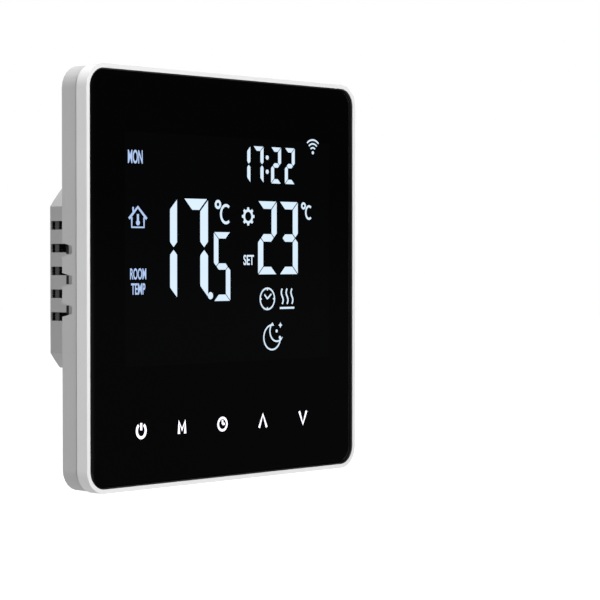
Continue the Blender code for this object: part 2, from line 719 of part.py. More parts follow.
def power_parts(rear):
    """Relay, transformer, capacitors, fuse, varistor and rectifier."""
    relay = bmesh.new()
    end = RELAY[3]
    add_loft(relay, [
        (chip_outline(RELAY, 0.8), PARTS_Y),
        (chip_outline(RELAY, 0.8), end - 0.4),
        (chip_outline(RELAY, 0.6, 0.4), end),
    ])
    piece("relay", relay, "relay_case", rear)
    transformer(rear)
    film = bmesh.new()
    add_prism(film, chip_outline(FILM, 0.5), PARTS_Y, FILM[3])
    piece("film_capacitor", film, "capacitor_box", rear)
    for number, (centre, radius, top) in enumerate(CANS, 1):
        can = bmesh.new()
        add_loft(can, [
            (circle(radius, centre), PARTS_Y),
            (circle(radius, centre), top - 0.4),
            (circle(radius - 0.4, centre), top),
        ])
        piece(f"electrolytic_{number}", can, "capacitor_sleeve", rear, smooth=True)
    fuse = bmesh.new()
    add_prism(fuse, chip_outline(FUSE, 0.8), PARTS_Y, FUSE[3])
    piece("fuse", fuse, "black_plastic", rear)
    front_side = POWER_Y - GAP
    disc = bmesh.new()
    edge = circle(VARISTOR_RADIUS, VARISTOR_CENTRE, 20)
    face = circle(VARISTOR_RADIUS - 0.6, VARISTOR_CENTRE, 20)
    add_loft(disc, [
        (face, VARISTOR_FRONT), (edge, VARISTOR_FRONT + 0.5), (edge, front_side - 0.5), (face, front_side),
    ])
    piece("varistor", disc, "varistor_blue", rear, smooth=True)
    bridge = bmesh.new()
    add_prism(bridge, chip_outline(RECTIFIER), front_side - RECTIFIER[3], front_side)
    piece("rectifier", bridge, "black_plastic", rear)


def transformer(rear):
    """A ferrite ring round the waist of a wound bobbin."""
    core = bmesh.new()
    ring = outline(*CORE_OUTER, 0.5, CORE_CENTRE, steps=1)
    window = outline(*CORE_WINDOW, 0.5, CORE_CENTRE, steps=1)
    add_ring(core, ring, window, *CORE_DEPTHS)
    piece("transformer_core", core, "ferrite", rear)
    bobbin = bmesh.new()
    flange = outline(*BOBBIN_FLANGE, 0.8, CORE_CENTRE, steps=2)
    winding = outline(*BOBBIN_WINDING, 1.2, CORE_CENTRE, steps=2)
    first, second, end = BOBBIN_DEPTHS
    add_loft(bobbin, [
        (flange, PARTS_Y), (flange, first), (winding, first),
        (winding, second), (flange, second), (flange, end),
    ])
    piece("transformer_winding", bobbin, "winding_tape", rear)


def terminal_block(rear):
    """Block with one chamber for each wire. Wires come in from below, screws turn from behind."""
    shape = bmesh.new()
    section = [
        (PARTS_Y, TERMINAL_HIGH), (TERMINAL_REAR, TERMINAL_HIGH), (TERMINAL_REAR, TERMINAL_LOW),
        (STEP_DEPTH + GAP, TERMINAL_LOW), (STEP_DEPTH + GAP, -18.3), (PARTS_Y, -18.3),
    ]
    add_side_prism(shape, section, -TERMINAL_HALF_WIDTH, TERMINAL_HALF_WIDTH)
    made = piece("terminal_block", shape, "terminal_green", rear)
    chambers = bmesh.new()
    passages = bmesh.new()
    seats = bmesh.new()
    chamber = [
        (10.9, -12.9), (22.6, -12.9), (22.6, -18.9), (16.9, -18.9),
        (16.9, -20.5), (11.2, -20.5), (11.2, -18.9), (10.9, -18.9),
    ]
    passage = [(16.1, -13.3), (17.6, -13.3), (17.6, -10.0), (9.0, -10.0), (9.0, -11.8), (16.1, -11.8)]
    for x in terminal_centres():
        add_side_prism(chambers, chamber, x - CHAMBER_HALF, x + CHAMBER_HALF)
        add_side_prism(passages, passage, x - 1.45, x + 1.45)
        add_prism(passages, circle(SCREW_SHANK + 0.4, (x, TERMINAL_Z), 12), 22.2, 23.9)
        add_prism(seats, circle(2.8, (x, TERMINAL_Z), 16), SCREW_HEAD_Y - GAP, TERMINAL_REAR + 1)
    boolean(made, chambers, "DIFFERENCE", "chambers")
    boolean(made, passages, "DIFFERENCE", "passages")
    boolean(made, seats, "DIFFERENCE", "screw_seats")


def contact_bars(rear):
    """Bent strip in each chamber: the wire is clamped against it, and its pin goes to the board."""
    high, low = BAR_PIN_Z + 0.5, BAR_PIN_Z - 0.5
    bent = [(16.4, -18.6), (17.3, -18.6), (17.3, high), (7.2, high), (7.2, low), (16.4, low)]
    for number, x in enumerate(terminal_centres(), 1):
        shape = bmesh.new()
        add_side_prism(shape, bent, x - BAR_HALF, x + BAR_HALF)
        piece(f"contact_bar_{number}", shape, "tin", rear)


def clamps(rear):
    """Captive screws, each of which draws a clamp cage along itself as it turns."""
    for number, x in enumerate(terminal_centres(), 1):
        screw = bmesh.new()
        axis = (x, TERMINAL_Z)
        add_loft(screw, [
            (circle(SCREW_SHANK, axis, 12), SCREW_TIP_Y),
            (circle(SCREW_SHANK, axis, 12), SCREW_HEAD_Y),
            (circle(SCREW_HEAD, axis, 12), SCREW_HEAD_Y),
            (circle(SCREW_HEAD, axis, 12), SCREW_HEAD_END - 0.3),
            (circle(SCREW_HEAD - 0.3, axis, 12), SCREW_HEAD_END),
        ])
        origin = (x, SCREW_HEAD_Y, TERMINAL_Z)
        made = piece(f"terminal_screw_{number}", screw, "bright_steel", rear, origin, smooth=True)
        slot = bmesh.new()
        across, up = (x - SCREW_SLOT_HALF, x + SCREW_SLOT_HALF), (TERMINAL_Z - 3, TERMINAL_Z + 3)
        add_block(slot, across, (SCREW_SLOT_Y, SCREW_HEAD_END + 1), up)
        boolean(made, slot, "DIFFERENCE", "slot")
        cage = bmesh.new()
        add_block(cage, (x - CAGE_HALF, x + CAGE_HALF), CAGE_DEPTHS, CAGE_HEIGHTS)
        origin = (x, sum(CAGE_DEPTHS) / 2, TERMINAL_Z)
        made = piece(f"clamp_cage_{number}", cage, "bright_steel", rear, origin)
        inside = CAGE_HALF - CAGE_WALL
        through = bmesh.new()
        past_ends = (CAGE_HEIGHTS[0] - 1, CAGE_HEIGHTS[1] + 1)
        add_block(through, (x - inside, x + inside), CAGE_BORE_DEPTHS, past_ends)
        boolean(made, through, "DIFFERENCE", "wire_hole")
        bore = bmesh.new()
        add_prism(bore, circle(SCREW_SHANK + GAP, axis, 12), 17.0, 20.0)
        boolean(made, bore, "DIFFERENCE", "screw_hole")


# ---------------------------------------------------------------- assembly


def build():
    clear_scene()
    front = unit("front_unit")
    touch_glass(front)
    glass_tape(front)
    front_frame(front)
    display_stack(front)
    lcd_holder(front)
    display_board(front)
    touch_keys(front)
    board_parts(front)
    plug(front)
    rear = unit("rear_unit")
    rear_housing(rear)
    inner_cover(rear)
    socket(rear)
    power_board(rear)
    power_parts(rear)
    terminal_block(rear)
    contact_bars(rear)
    clamps(rear)


build()
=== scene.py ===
# %% [markdown]
# # A flush wall thermostat
#
# The real object has two shells. The front one is a thin white frame that holds a sheet of black glass, a
# segment display, five touch keys and a circuit board. It pulls off the rear one, a pale grey rim with a
# deep box behind it that sinks into the wall and holds the mains parts and the wire terminals.
# The packed CAD model gives every size and place. This script gives the surfaces, the lit signs and the
# small parts, around that fixed frame.

# %% Load the fixed frame
from math import cos, pi, radians, sin

import bpy
from mathutils import Matrix, Vector


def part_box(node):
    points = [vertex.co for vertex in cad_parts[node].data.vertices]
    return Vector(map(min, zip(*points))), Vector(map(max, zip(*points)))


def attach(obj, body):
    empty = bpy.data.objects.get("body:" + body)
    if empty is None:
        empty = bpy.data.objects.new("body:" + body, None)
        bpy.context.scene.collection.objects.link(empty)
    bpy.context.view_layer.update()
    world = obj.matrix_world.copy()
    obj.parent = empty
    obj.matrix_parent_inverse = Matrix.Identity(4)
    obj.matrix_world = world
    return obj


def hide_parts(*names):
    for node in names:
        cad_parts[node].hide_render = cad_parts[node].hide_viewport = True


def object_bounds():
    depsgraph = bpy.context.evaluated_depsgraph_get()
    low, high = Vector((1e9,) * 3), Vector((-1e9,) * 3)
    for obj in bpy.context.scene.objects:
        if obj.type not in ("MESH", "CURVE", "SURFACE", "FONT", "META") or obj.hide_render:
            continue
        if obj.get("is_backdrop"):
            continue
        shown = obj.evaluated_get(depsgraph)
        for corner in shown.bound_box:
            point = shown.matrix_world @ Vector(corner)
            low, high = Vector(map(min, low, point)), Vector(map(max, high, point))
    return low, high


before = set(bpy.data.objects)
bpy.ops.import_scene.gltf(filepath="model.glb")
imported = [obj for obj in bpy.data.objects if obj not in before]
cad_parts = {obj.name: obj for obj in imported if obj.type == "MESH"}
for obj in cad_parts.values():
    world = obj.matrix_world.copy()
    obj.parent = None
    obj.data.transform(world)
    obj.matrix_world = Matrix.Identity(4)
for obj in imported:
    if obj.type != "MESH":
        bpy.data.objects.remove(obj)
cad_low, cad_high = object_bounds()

MM = 0.001
print("CAD box in mm:", [round(side / MM, 2) for side in cad_high - cad_low])

# %% [markdown]
# ## Camera and studio
#
# The camera stands in front of the left edge, so that the glass and the left side both show. A long lens
# from half a metre keeps the far edge of the face almost as tall as the near one.
# The camera sees white all round. A soft lamp hangs overhead and another stands in front, the room glows
# faintly and its floor more. A real photographer puts a black card where a polished black face would
# mirror the room. Here the room is dark in that direction.

# %% Camera
CAMERA_PLACE = (-0.3481, -0.3389, 0.0042)
CAMERA_TILT, CAMERA_HEADING = 88.91, -48.29
CAMERA_LENS, CAMERA_NEAREST = 129.76, 0.01

bpy.ops.object.select_all(action="DESELECT")
bpy.ops.object.camera_add(location=CAMERA_PLACE, rotation=(radians(CAMERA_TILT), 0, radians(CAMERA_HEADING)))
camera = bpy.context.object
camera.name = "camera"
camera.data.lens, camera.data.clip_start = CAMERA_LENS, CAMERA_NEAREST
bpy.context.scene.camera = camera
bpy.context.scene.view_settings.view_transform = "Standard"
print("camera at", tuple(round(value, 3) for value in camera.location))

# %% [markdown]
# ## Shader maths as plain expressions
#
# A pattern is arithmetic on values that change over a surface. `Value` wraps one output socket, so that
# `1 - mask * 0.5` adds the two Math nodes by itself. Every other node comes from `Nodes.add`.

# %% Socket arithmetic
def math_node(operation, swap=False):
    """An operator that adds one Math node to the tree of its left or, if swapped, its right value."""

    def act(value, other):
        first, second = (other, value) if swap else (value, other)
        return value.nodes.add("Math", {"operation": operation}, {0: first, 1: second})

    return act


class Value:
    """One output socket. Operators on it add Math nodes."""

    def __init__(self, nodes, socket):
        self.nodes, self.socket = nodes, socket

    __add__ = __radd__ = math_node("ADD")
    __sub__, __rsub__ = math_node("SUBTRACT"), math_node("SUBTRACT", swap=True)
    __mul__ = __rmul__ = math_node("MULTIPLY")
    __truediv__, __mod__ = math_node("DIVIDE"), math_node("FLOORED_MODULO")
    __gt__, __lt__ = math_node("GREATER_THAN"), math_node("LESS_THAN")


print("reflected operators:", [name for name in vars(Value) if name.startswith("__r")])


# %% Nodes of one material
class Nodes:
    """The node tree of one material, or of the world."""

    def __init__(self, owner):
        owner.use_nodes = True
        self.tree = owner.node_tree

    def add(self, kind, settings=None, inputs=None, output=0):
        node = self.tree.nodes.new("ShaderNode" + kind)
        for name, value in (settings or {}).items():
            if name == "stops":
                ramp = node.color_ramp.elements
                while len(ramp) < len(value):
                    ramp.new(0.5)
                for stop, (place, colour) in zip(ramp, value):
                    stop.position, stop.color = place, (*colour, 1.0)
            else:
                setattr(node, name, value)
        for name, value in (inputs or {}).items():
            self.put(node.inputs[name], value)
        return Value(self, node.outputs[output])

    def put(self, socket, value):
        if isinstance(value, Value):
            self.tree.links.new(value.socket, socket)
        elif socket.type == "RGBA" and len(value) == 3:
            socket.default_value = (*value, 1.0)
        else:
            socket.default_value = value

    def fix(self, **fixed):
        """Sets constants on the shader's own sockets, such as base_color or ior, and returns the shader."""
        shader = self.tree.nodes["Principled BSDF"]
        for name, value in fixed.items():
            self.put(shader.inputs[name.replace("_", " ").title().replace("Ior", "IOR")], value)
        return shader


print("nodes are added by", Nodes.add.__name__)

# %% Floor, lamps and a white room
FLOOR_RADIUS = 1.6
FLOOR_GAP = 0.05 * MM
FLOOR_GREY, FLOOR_LIGHT = 0.35, 0.94

bpy.ops.object.select_all(action="DESELECT")
bpy.ops.mesh.primitive_circle_add(
    vertices=96, radius=FLOOR_RADIUS, fill_type="NGON", location=(0, 0, cad_low.z - FLOOR_GAP)
)
floor = bpy.context.object
floor.name = "floor"
floor.visible_glossy = floor.visible_diffuse = False
floor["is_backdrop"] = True
floor_white = bpy.data.materials.new("floor_white")
Nodes(floor_white).fix(
    base_color=[FLOOR_GREY] * 3, roughness=0.9, emission_color=(1, 1, 1), emission_strength=FLOOR_LIGHT
)
floor.data.materials.append(floor_white)


def lamp(name, place, watts, size):
    """A square soft lamp that faces the object and isn't mirrored in its glass."""
    bpy.ops.object.select_all(action="DESELECT")
    bpy.ops.object.light_add(type="AREA", location=place)
    made = bpy.context.object
    made.name = name
    made.rotation_euler = Vector(place).to_track_quat("Z", "Y").to_euler()
    made.data.energy, made.data.size = watts, size
    made.visible_camera = made.visible_glossy = False


lamp("lamp_overhead", (-0.02, 0.10, 0.62), 5.9, 0.6)
lamp("lamp_in_front", (-0.23, -0.81, 0.24), 7.5, 0.5)

BLACK_CARD, CARD_LIGHT = Vector((0.88, -0.475, -0.02)), 0.05
CARD_STARTS, CARD_FULL = 0.35, 0.62
FLOOR_GLOW, WALL_GLOW, HORIZON = 0.72, 0.14, 0.03
room = bpy.data.worlds.new("white_room")
bpy.context.scene.world = room
room_nodes = Nodes(room)
direction = room_nodes.add("TexCoord")
height = room_nodes.add("SeparateXYZ", {}, {0: direction}, "Z")
level = room_nodes.add(
    "MapRange", {}, {"Value": height, 1: -HORIZON, 2: HORIZON, 3: FLOOR_GLOW, 4: WALL_GLOW}
)
card = room_nodes.add("VectorMath", {"operation": "DOT_PRODUCT"}, {0: direction, 1: BLACK_CARD}, "Value")
open_part = room_nodes.add(
    "MapRange",
    {"interpolation_type": "SMOOTHSTEP"},
    {"Value": card, 1: CARD_STARTS, 2: CARD_FULL, 3: 1.0, 4: CARD_LIGHT},
)
seen = room_nodes.add("LightPath", output="Is Camera Ray")
lit = room_nodes.add("Mix", {"data_type": "FLOAT"}, {0: seen, 2: level * open_part, 3: 1.0})
background = room_nodes.tree.nodes["Background"]
room_nodes.put(background.inputs["Strength"], lit)
room_nodes.put(background.inputs["Color"], (1, 1, 1))
print("floor at z =", round(floor.location.z / MM, 2), "mm")

# %% [markdown]
# ## Finishes
#
# Each finish is one material, named as its slot in the part's record. Moulded plastic has a fine eroded
# grain of a few hundredths of a millimetre, so its bump follows noise at that scale. Patterns read
# Object coordinates, which are metres here, because every piece keeps its place in its mesh.

# %% A finish and its grain
BLOTCH_SCALE = 90.0
finishes = {}


def start(name, **fixed):
    """A new material: its nodes, its shader with its constants set, and the place on the piece."""
    finishes[name] = bpy.data.materials.new(name)
    nodes = Nodes(finishes[name])
    return nodes, nodes.fix(**fixed), nodes.add("TexCoord", output="Object")


def axes(nodes, place):
    return [nodes.add("SeparateXYZ", {}, {0: place}, axis) for axis in "XYZ"]


def noise(nodes, place, scale, detail, **more):
    return nodes.add("TexNoise", {}, {"Vector": place, "Scale": scale, "Detail": detail, **more})


def mix(nodes, mask, first, second):
    return nodes.add("Mix", {"data_type": "RGBA"}, {0: mask, 6: first, 7: second}, 2)


def lift(nodes, shader, height, distance):
    """Raises what the height says, by a distance in mm."""
    nodes.put(shader.inputs["Normal"], nodes.add("Bump", {}, {"Height": height, "Distance": distance * MM}))


def finish(name, colour, roughness, grain=(0.25, 0.004), spread=0.06, mottle=0.93, **fixed):
    """A finish whose roughness and bump follow a noise grain, given as (size, height) in mm."""
    nodes, shader, place = start(name, **fixed)
    size, height = grain
    fine, broad = noise(nodes, place, 1 / (size * MM), 2.0), noise(nodes, place, BLOTCH_SCALE, 3.0)
    nodes.put(shader.inputs["Roughness"], roughness + (broad - 0.5) * spread + (fine - 0.5) * spread)
    nodes.put(shader.inputs["Base Color"], mix(nodes, broad, [value * mottle for value in colour], colour))
    lift(nodes, shader, fine, height)


print("finishes are made by", finish.__name__)

# %% Plain finishes
RECIPES = {
    "frame_white": dict(colour=(0.80, 0.80, 0.80), roughness=0.38, grain=(0.18, 0.003)),
    "housing_grey": dict(colour=(0.54, 0.534, 0.537), roughness=0.5, grain=(0.22, 0.010)),
    "lcd_black": dict(colour=(0.012, 0.013, 0.017), roughness=0.12, grain=(2.0, 0.001)),
    "white_film": dict(colour=(0.86, 0.86, 0.85), roughness=0.55, grain=(0.3, 0.006)),
    "black_plastic": dict(colour=(0.020, 0.020, 0.021), roughness=0.46, grain=(0.12, 0.006)),
    "tape_black": dict(colour=(0.020, 0.020, 0.020), roughness=0.85, grain=(0.10, 0.030), mottle=0.6),
    "tin": dict(colour=(0.66, 0.66, 0.64), roughness=0.30, metallic=1.0, grain=(0.5, 0.004), spread=0.2),
    "ferrite": dict(colour=(0.060, 0.060, 0.064), roughness=0.55, grain=(0.08, 0.012), mottle=0.55),
    "relay_case": dict(colour=(0.020, 0.020, 0.022), roughness=0.36, grain=(0.15, 0.006)),
    "capacitor_box": dict(colour=(0.72, 0.50, 0.045), roughness=0.42, grain=(0.15, 0.006)),
    "varistor_blue": dict(colour=(0.020, 0.085, 0.32), roughness=0.30, grain=(0.9, 0.030), coat_weight=0.5),
    "terminal_green": dict(colour=(0.028, 0.27, 0.105), roughness=0.44, grain=(0.2, 0.008)),
    "sensor_epoxy": dict(colour=(0.014, 0.014, 0.014), roughness=0.28, grain=(0.6, 0.020)),
    "led_white": dict(colour=(0.84, 0.84, 0.80), roughness=0.32, grain=(0.2, 0.003)),
    "phosphor": dict(colour=(0.82, 0.66, 0.12), roughness=0.25, grain=(0.05, 0.004), mottle=0.8),
    # painted shade: a near-black, barely glossy finish that darkens the vent slots
    "slot_shade_black": dict(
        colour=(0.003, 0.003, 0.003), roughness=0.8, grain=(0.08, 0.010), specular_ior_level=0.05
    ),
    # painted shade: a dark copy of the housing grey, for the ribs inside the slots
    "rib_shade_grey": dict(colour=(0.085, 0.085, 0.088), roughness=0.6, grain=(0.2, 0.008)),
}
for name, recipe in RECIPES.items():
    finish(name, **recipe)
print("finishes:", ", ".join(sorted(finishes)))

# %% [markdown]
# Five finishes need a pattern of their own. Steel pieces keep the fine rings of the lathe. A clear light
# guide has rows of moulded dots that throw its light forward. A capacitor's sleeve has a pale stripe on
# the side of its negative leg, and tape lies on a winding in overlapping turns. A circuit board shows its
# copper tracks as slightly raised, lighter lines under the green mask, with tinned holes between them.

# %% Steel, light guide, sleeve and winding tape
def stripes(value, pitch, share):
    """1 on a share of each pitch, in mm, and 0 between."""
    return (value / (pitch * MM)) % 1.0 < share


nodes, shader, place = start("bright_steel", metallic=1.0)
x, y, z = axes(nodes, place)
rings = nodes.add("TexNoise", {"noise_dimensions": "1D"}, {"W": y * 9000.0, "Detail": 1.0})
dull = noise(nodes, place, 400.0, 3.0)
nodes.put(shader.inputs["Base Color"], mix(nodes, dull, (0.50, 0.50, 0.51), (0.66, 0.66, 0.67)))
nodes.put(shader.inputs["Roughness"], 0.24 + dull * 0.16)
lift(nodes, shader, rings, 0.006)

nodes, shader, place = start("clear_guide", transmission_weight=0.75, ior=1.49)
x, y, z = axes(nodes, place)
dots = stripes(x, 1.2, 0.4) * stripes(z, 1.2, 0.4)
nodes.put(shader.inputs["Base Color"], mix(nodes, dots, (0.90, 0.93, 0.95), (0.98, 0.98, 0.98)))
nodes.put(shader.inputs["Roughness"], 0.08 + dots * 0.4)

nodes, shader, place = start("capacitor_sleeve", coat_weight=0.3)
x, y, z = axes(nodes, place)
pale = (x > 10.6 * MM) * stripes(y, 2.6, 0.62) + (x > -2.4 * MM) * (x < -1.6 * MM) * (z > 15.4 * MM)
nodes.put(shader.inputs["Base Color"], mix(nodes, pale, (0.016, 0.018, 0.030), (0.42, 0.43, 0.45)))
shrink = noise(nodes, place, 700.0, 2.0)
nodes.put(shader.inputs["Roughness"], 0.26 + shrink * 0.1)
lift(nodes, shader, shrink, 0.01)

nodes, shader, place = start("winding_tape")
x, y, z = axes(nodes, place)
turn = (y / (1.9 * MM) + z / (40.0 * MM)) % 1.0
overlap = turn < 0.12
creases = noise(nodes, place, 1500.0, 2.0)
nodes.put(shader.inputs["Base Color"], mix(nodes, overlap, (0.74, 0.56, 0.06), (0.55, 0.38, 0.03)))
nodes.put(shader.inputs["Roughness"], 0.30 + creases * 0.15)
lift(nodes, shader, turn + creases * 0.2, 0.04)
print("patterned:", "bright_steel, clear_guide, capacitor_sleeve, winding_tape")

# %% Circuit board
TRACK_PITCH = 0.9
FIELD = 7.0

nodes, shader, place = start("board_green", coat_weight=0.4)
x, y, z = axes(nodes, place)
fields = nodes.add("VectorMath", {"operation": "SNAP"}, {0: place, 1: (FIELD * MM, 1.0, FIELD * MM)})
draw = nodes.add("TexWhiteNoise", {}, {"Vector": fields})
upright = stripes(x, TRACK_PITCH, 0.42) * (draw > 0.55)
level = stripes(z, TRACK_PITCH, 0.42) * (draw < 0.35)
copper = upright + level
spots = nodes.add("TexVoronoi", {}, {"Vector": place, "Scale": 330.0}, "Distance")
ring, hole = spots < 0.13, spots < 0.06
weave = noise(nodes, place, 2500.0, 1.0)
mask = mix(nodes, copper, (0.006, 0.075, 0.030), (0.014, 0.145, 0.050))
tinned = mix(nodes, ring, mask, (0.62, 0.60, 0.54))
nodes.put(shader.inputs["Base Color"], mix(nodes, hole, tinned, (0.01, 0.01, 0.01)))
nodes.put(shader.inputs["Metallic"], ring - hole)
nodes.put(shader.inputs["Roughness"], 0.34 + weave * 0.12)
lift(nodes, shader, copper + ring + weave * 0.15, 0.035)
print("board tracks every", TRACK_PITCH, "mm")

# %% [markdown]
# The glass is printed black behind, except for the display's window, which lets a little more light back.
# Its polish is broken only by a trace of fingertip smears.

# %% Black glass
WINDOW_LOW, WINDOW_HIGH = (-32.0 * MM, -18.7 * MM), (33.7 * MM, 31.1 * MM)
INK, WINDOW_INK = (0.0011, 0.0011, 0.0012), (0.0016, 0.0017, 0.0020)

nodes, shader, place = start("black_glass", ior=1.5, specular_ior_level=0.35)
x, y, z = axes(nodes, place)
window = (x > WINDOW_LOW[0]) * (x < WINDOW_HIGH[0]) * (z > WINDOW_LOW[1]) * (z < WINDOW_HIGH[1])
nodes.put(shader.inputs["Base Color"], mix(nodes, window, INK, WINDOW_INK))
smears = noise(nodes, place, 60.0, 4.0, Distortion=0.6)
nodes.put(shader.inputs["Roughness"], 0.03 + smears * 0.05)
print("display window:", [round((b - a) / MM, 1) for a, b in zip(WINDOW_LOW, WINDOW_HIGH)], "mm")

# %% [markdown]
# ## Modelling by hand, in code
#
# Each piece starts as a primitive at its size and place. `pick` then selects faces or edges by where they
# are, which leaves the piece in edit mode for the next operator, and `close` goes back to object mode.

# %% Selecting and pushing faces
def select_only(*pieces):
    bpy.ops.object.select_all(action="DESELECT")
    for each in pieces:
        each.select_set(True)
    bpy.context.view_layer.objects.active = pieces[0]


def pick(piece, kind, test):
    """Edit mode, with only the faces or edges selected whose middle and direction pass the test."""
    select_only(piece)
    bpy.ops.object.mode_set(mode="EDIT")
    bpy.ops.mesh.select_mode(type=kind)
    bpy.ops.mesh.select_all(action="DESELECT")
    bpy.ops.object.mode_set(mode="OBJECT")
    mesh = piece.data
    if kind == "FACE":
        for face in mesh.polygons:
            face.select = bool(test(face.center, face.normal))
    else:
        for edge in mesh.edges:
            start, end = (mesh.vertices[i].co for i in edge.vertices)
            edge.select = bool(test((start + end) / 2, (end - start).normalized()))
    bpy.ops.object.mode_set(mode="EDIT")


def close():
    """Back to object mode."""
    bpy.ops.object.mode_set(mode="OBJECT")


def facing(y):
    """A test for pick: faces that look along -Y (y = -1) or +Y (y = 1)."""
    return lambda centre, normal: normal.y * y > 0.99


def push(y=0.0, x=0.0, z=0.0):
    """Extrudes what is selected, by a shift in mm."""
    bpy.ops.mesh.extrude_region_move(TRANSFORM_OT_translate={"value": (x * MM, y * MM, z * MM)})


def step_in(piece, way, *steps):
    """Insets the faces that look along Y (way = 1) or -Y (-1) and pushes them, by (inset, push) in mm."""
    pick(piece, "FACE", facing(way))
    for inset, distance in steps:
        bpy.ops.mesh.inset(thickness=inset * MM)
        push(distance)
    close()


print("faces and edges are selected by", pick.__name__)

# %% Starting shapes
CORNER_STEPS = 12


def linked(name, data):
    """A new object in the scene that shows the data."""
    made = bpy.data.objects.new(name, data)
    bpy.context.scene.collection.objects.link(made)
    return made


def settle():
    """Moves the place, turn and size of the active object into its mesh."""
    bpy.ops.object.transform_apply(location=True, rotation=True, scale=True)
    return bpy.context.object


def block(name, low, high):
    """A cube primitive stretched between two corners, in mm."""
    low, high = Vector(low) * MM, Vector(high) * MM
    bpy.ops.object.select_all(action="DESELECT")
    bpy.ops.mesh.primitive_cube_add(size=1, location=(low + high) / 2)
    made = bpy.context.object
    made.name, made.scale = name, high - low
    return settle()


def rod(name, centre, radius, low_y, high_y, sides=32):
    """A cylinder along Y, in mm, at (x, z)."""
    bpy.ops.object.select_all(action="DESELECT")
    bpy.ops.mesh.primitive_cylinder_add(
        vertices=sides,
        radius=radius * MM,
        depth=(high_y - low_y) * MM,
        location=(centre[0] * MM, (low_y + high_y) / 2 * MM, centre[1] * MM),
        rotation=(pi / 2, 0, 0),
    )
    bpy.context.object.name = name
    return settle()


def rounded_plate(name, width, height, corner, front, back):
    """A block round the middle whose four edges along Y are rounded."""
    made = block(name, (-width / 2, front, -height / 2), (width / 2, back, height / 2))
    pick(made, "EDGE", lambda middle, along: abs(along.y) > 0.9)
    bpy.ops.mesh.bevel(offset=corner * MM, segments=CORNER_STEPS)
    close()
    return made


print("a rounded corner has", CORNER_STEPS, "steps")

# %% Modifiers that are applied at once
SHARP = 35


def modify(piece, kind, **settings):
    """Adds a modifier and applies it."""
    select_only(piece)
    made = piece.modifiers.new(kind.lower(), kind)
    for name, value in settings.items():
        setattr(made, name, value)
    bpy.ops.object.modifier_apply(modifier=made.name)


def cut(piece, *tools, operation="DIFFERENCE"):
    """Takes the tools away from a piece, or unites it with them, and removes them."""
    for tool in tools:
        modify(piece, "BOOLEAN", object=tool, operation=operation, solver="EXACT")
        bpy.data.objects.remove(tool, do_unlink=True)


def soften(piece, width, segments=2, angle=30):
    """Rounds every edge sharper than the angle, and shades smooth with the flat faces kept flat."""
    modify(
        piece, "BEVEL", width=width * MM, segments=segments, limit_method="ANGLE",
        angle_limit=radians(angle), use_clamp_overlap=True, harden_normals=False,
    )
    bpy.ops.object.shade_smooth_by_angle(angle=radians(SHARP))
    modify(piece, "WEIGHTED_NORMAL", keep_sharp=True)


print("edges sharper than", SHARP, "degrees stay sharp to the eye")

# %% Finish, body and CAD nodes of a piece
def coat(piece, name):
    """Gives a piece one finish all over."""
    piece.data.materials.clear()
    piece.data.materials.append(finishes[name])
    return piece


def join(name, *parts):
    """One object from several, each part with the finish that it has."""
    select_only(*parts)
    bpy.ops.object.join()
    made = bpy.context.object
    made.name = made.data.name = name
    return made


def dress(piece, slot, body, *nodes, mixed=False):
    """Gives a piece its finish, the body that it moves with and the CAD nodes that it stands for."""
    if not mixed:
        coat(piece, slot)
    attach(piece, body)
    if nodes:
        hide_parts(*nodes)
    print(piece.name, "on", body + ":", len(piece.data.polygons), "faces")
    return piece


print("a piece is finished by", dress.__name__)

# %% Spun shapes and copies
def turned(name, centre, profile, sides=32):
    """Spins a profile round an axis along Y. It is given as (radius, y) in mm, from one end to the other."""
    x, z = centre
    mesh = bpy.data.meshes.new(name)
    points = [((x + radius) * MM, y * MM, z * MM) for radius, y in profile]
    mesh.from_pydata(points, [(i, i + 1) for i in range(len(points) - 1)], [])
    made = linked(name, mesh)
    select_only(made)
    bpy.ops.object.mode_set(mode="EDIT")
    bpy.ops.mesh.select_all(action="SELECT")
    bpy.ops.mesh.spin(steps=sides, angle=2 * pi, center=(x * MM, 0, z * MM), axis=(0, 1, 0))
    bpy.ops.mesh.select_all(action="SELECT")
    bpy.ops.mesh.remove_doubles(threshold=0.001 * MM)
    bpy.ops.mesh.normals_make_consistent(inside=False)
    close()
    return made


def moved(piece, x=0.0, y=0.0, z=0.0, turn=0.0, about=(0.0, 0.0)):
    """A copy with its own mesh, turned about an axis along Y at (x, z), then shifted, in mm."""
    made = linked(piece.name, piece.data.copy())
    axis = Matrix.Translation((about[0] * MM, 0, about[1] * MM))
    made.data.transform(axis @ Matrix.Rotation(radians(turn), 4, "Y") @ axis.inverted())
    made.data.transform(Matrix.Translation((x * MM, y * MM, z * MM)))
    return made


print("round pieces are made by", turned.__name__)

# %% [markdown]
# ## Touch glass
#
# A sheet of float glass has its front edge ground to a shallow slope and polished. It starts as a plate
# with rounded corners. An inset with a small depth raises the middle and leaves the slope, and a bevel
# takes the sharpness off.

# %% Sizes of the face
FACE_CORNER = 5.0
LIP = 0.9
GLASS_GAP = 0.3
GLASS_SLOPE = 1.0
GLASS_SLOPE_DROP = 0.35

face_low, face_high = (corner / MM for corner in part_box("front_frame"))
glass_low, glass_high = (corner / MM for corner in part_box("touch_glass"))
FACE_WIDTH, FACE_HEIGHT = face_high.x - face_low.x, face_high.z - face_low.z
GLASS_FRONT = glass_low.y
print("face", round(FACE_WIDTH, 2), "x", round(FACE_HEIGHT, 2), "glass front at", round(GLASS_FRONT, 2))

# %% Touch glass
touch_glass = rounded_plate(
    "glass_sheet",
    glass_high.x - glass_low.x,
    glass_high.z - glass_low.z,
    FACE_CORNER - LIP - GLASS_GAP,
    GLASS_FRONT + GLASS_SLOPE_DROP,
    glass_high.y,
)
pick(touch_glass, "FACE", facing(-1))
bpy.ops.mesh.inset(thickness=GLASS_SLOPE * MM, depth=GLASS_SLOPE_DROP * MM)
close()
soften(touch_glass, 0.12, segments=3, angle=12)
dress(touch_glass, "black_glass", "front_unit", "touch_glass")
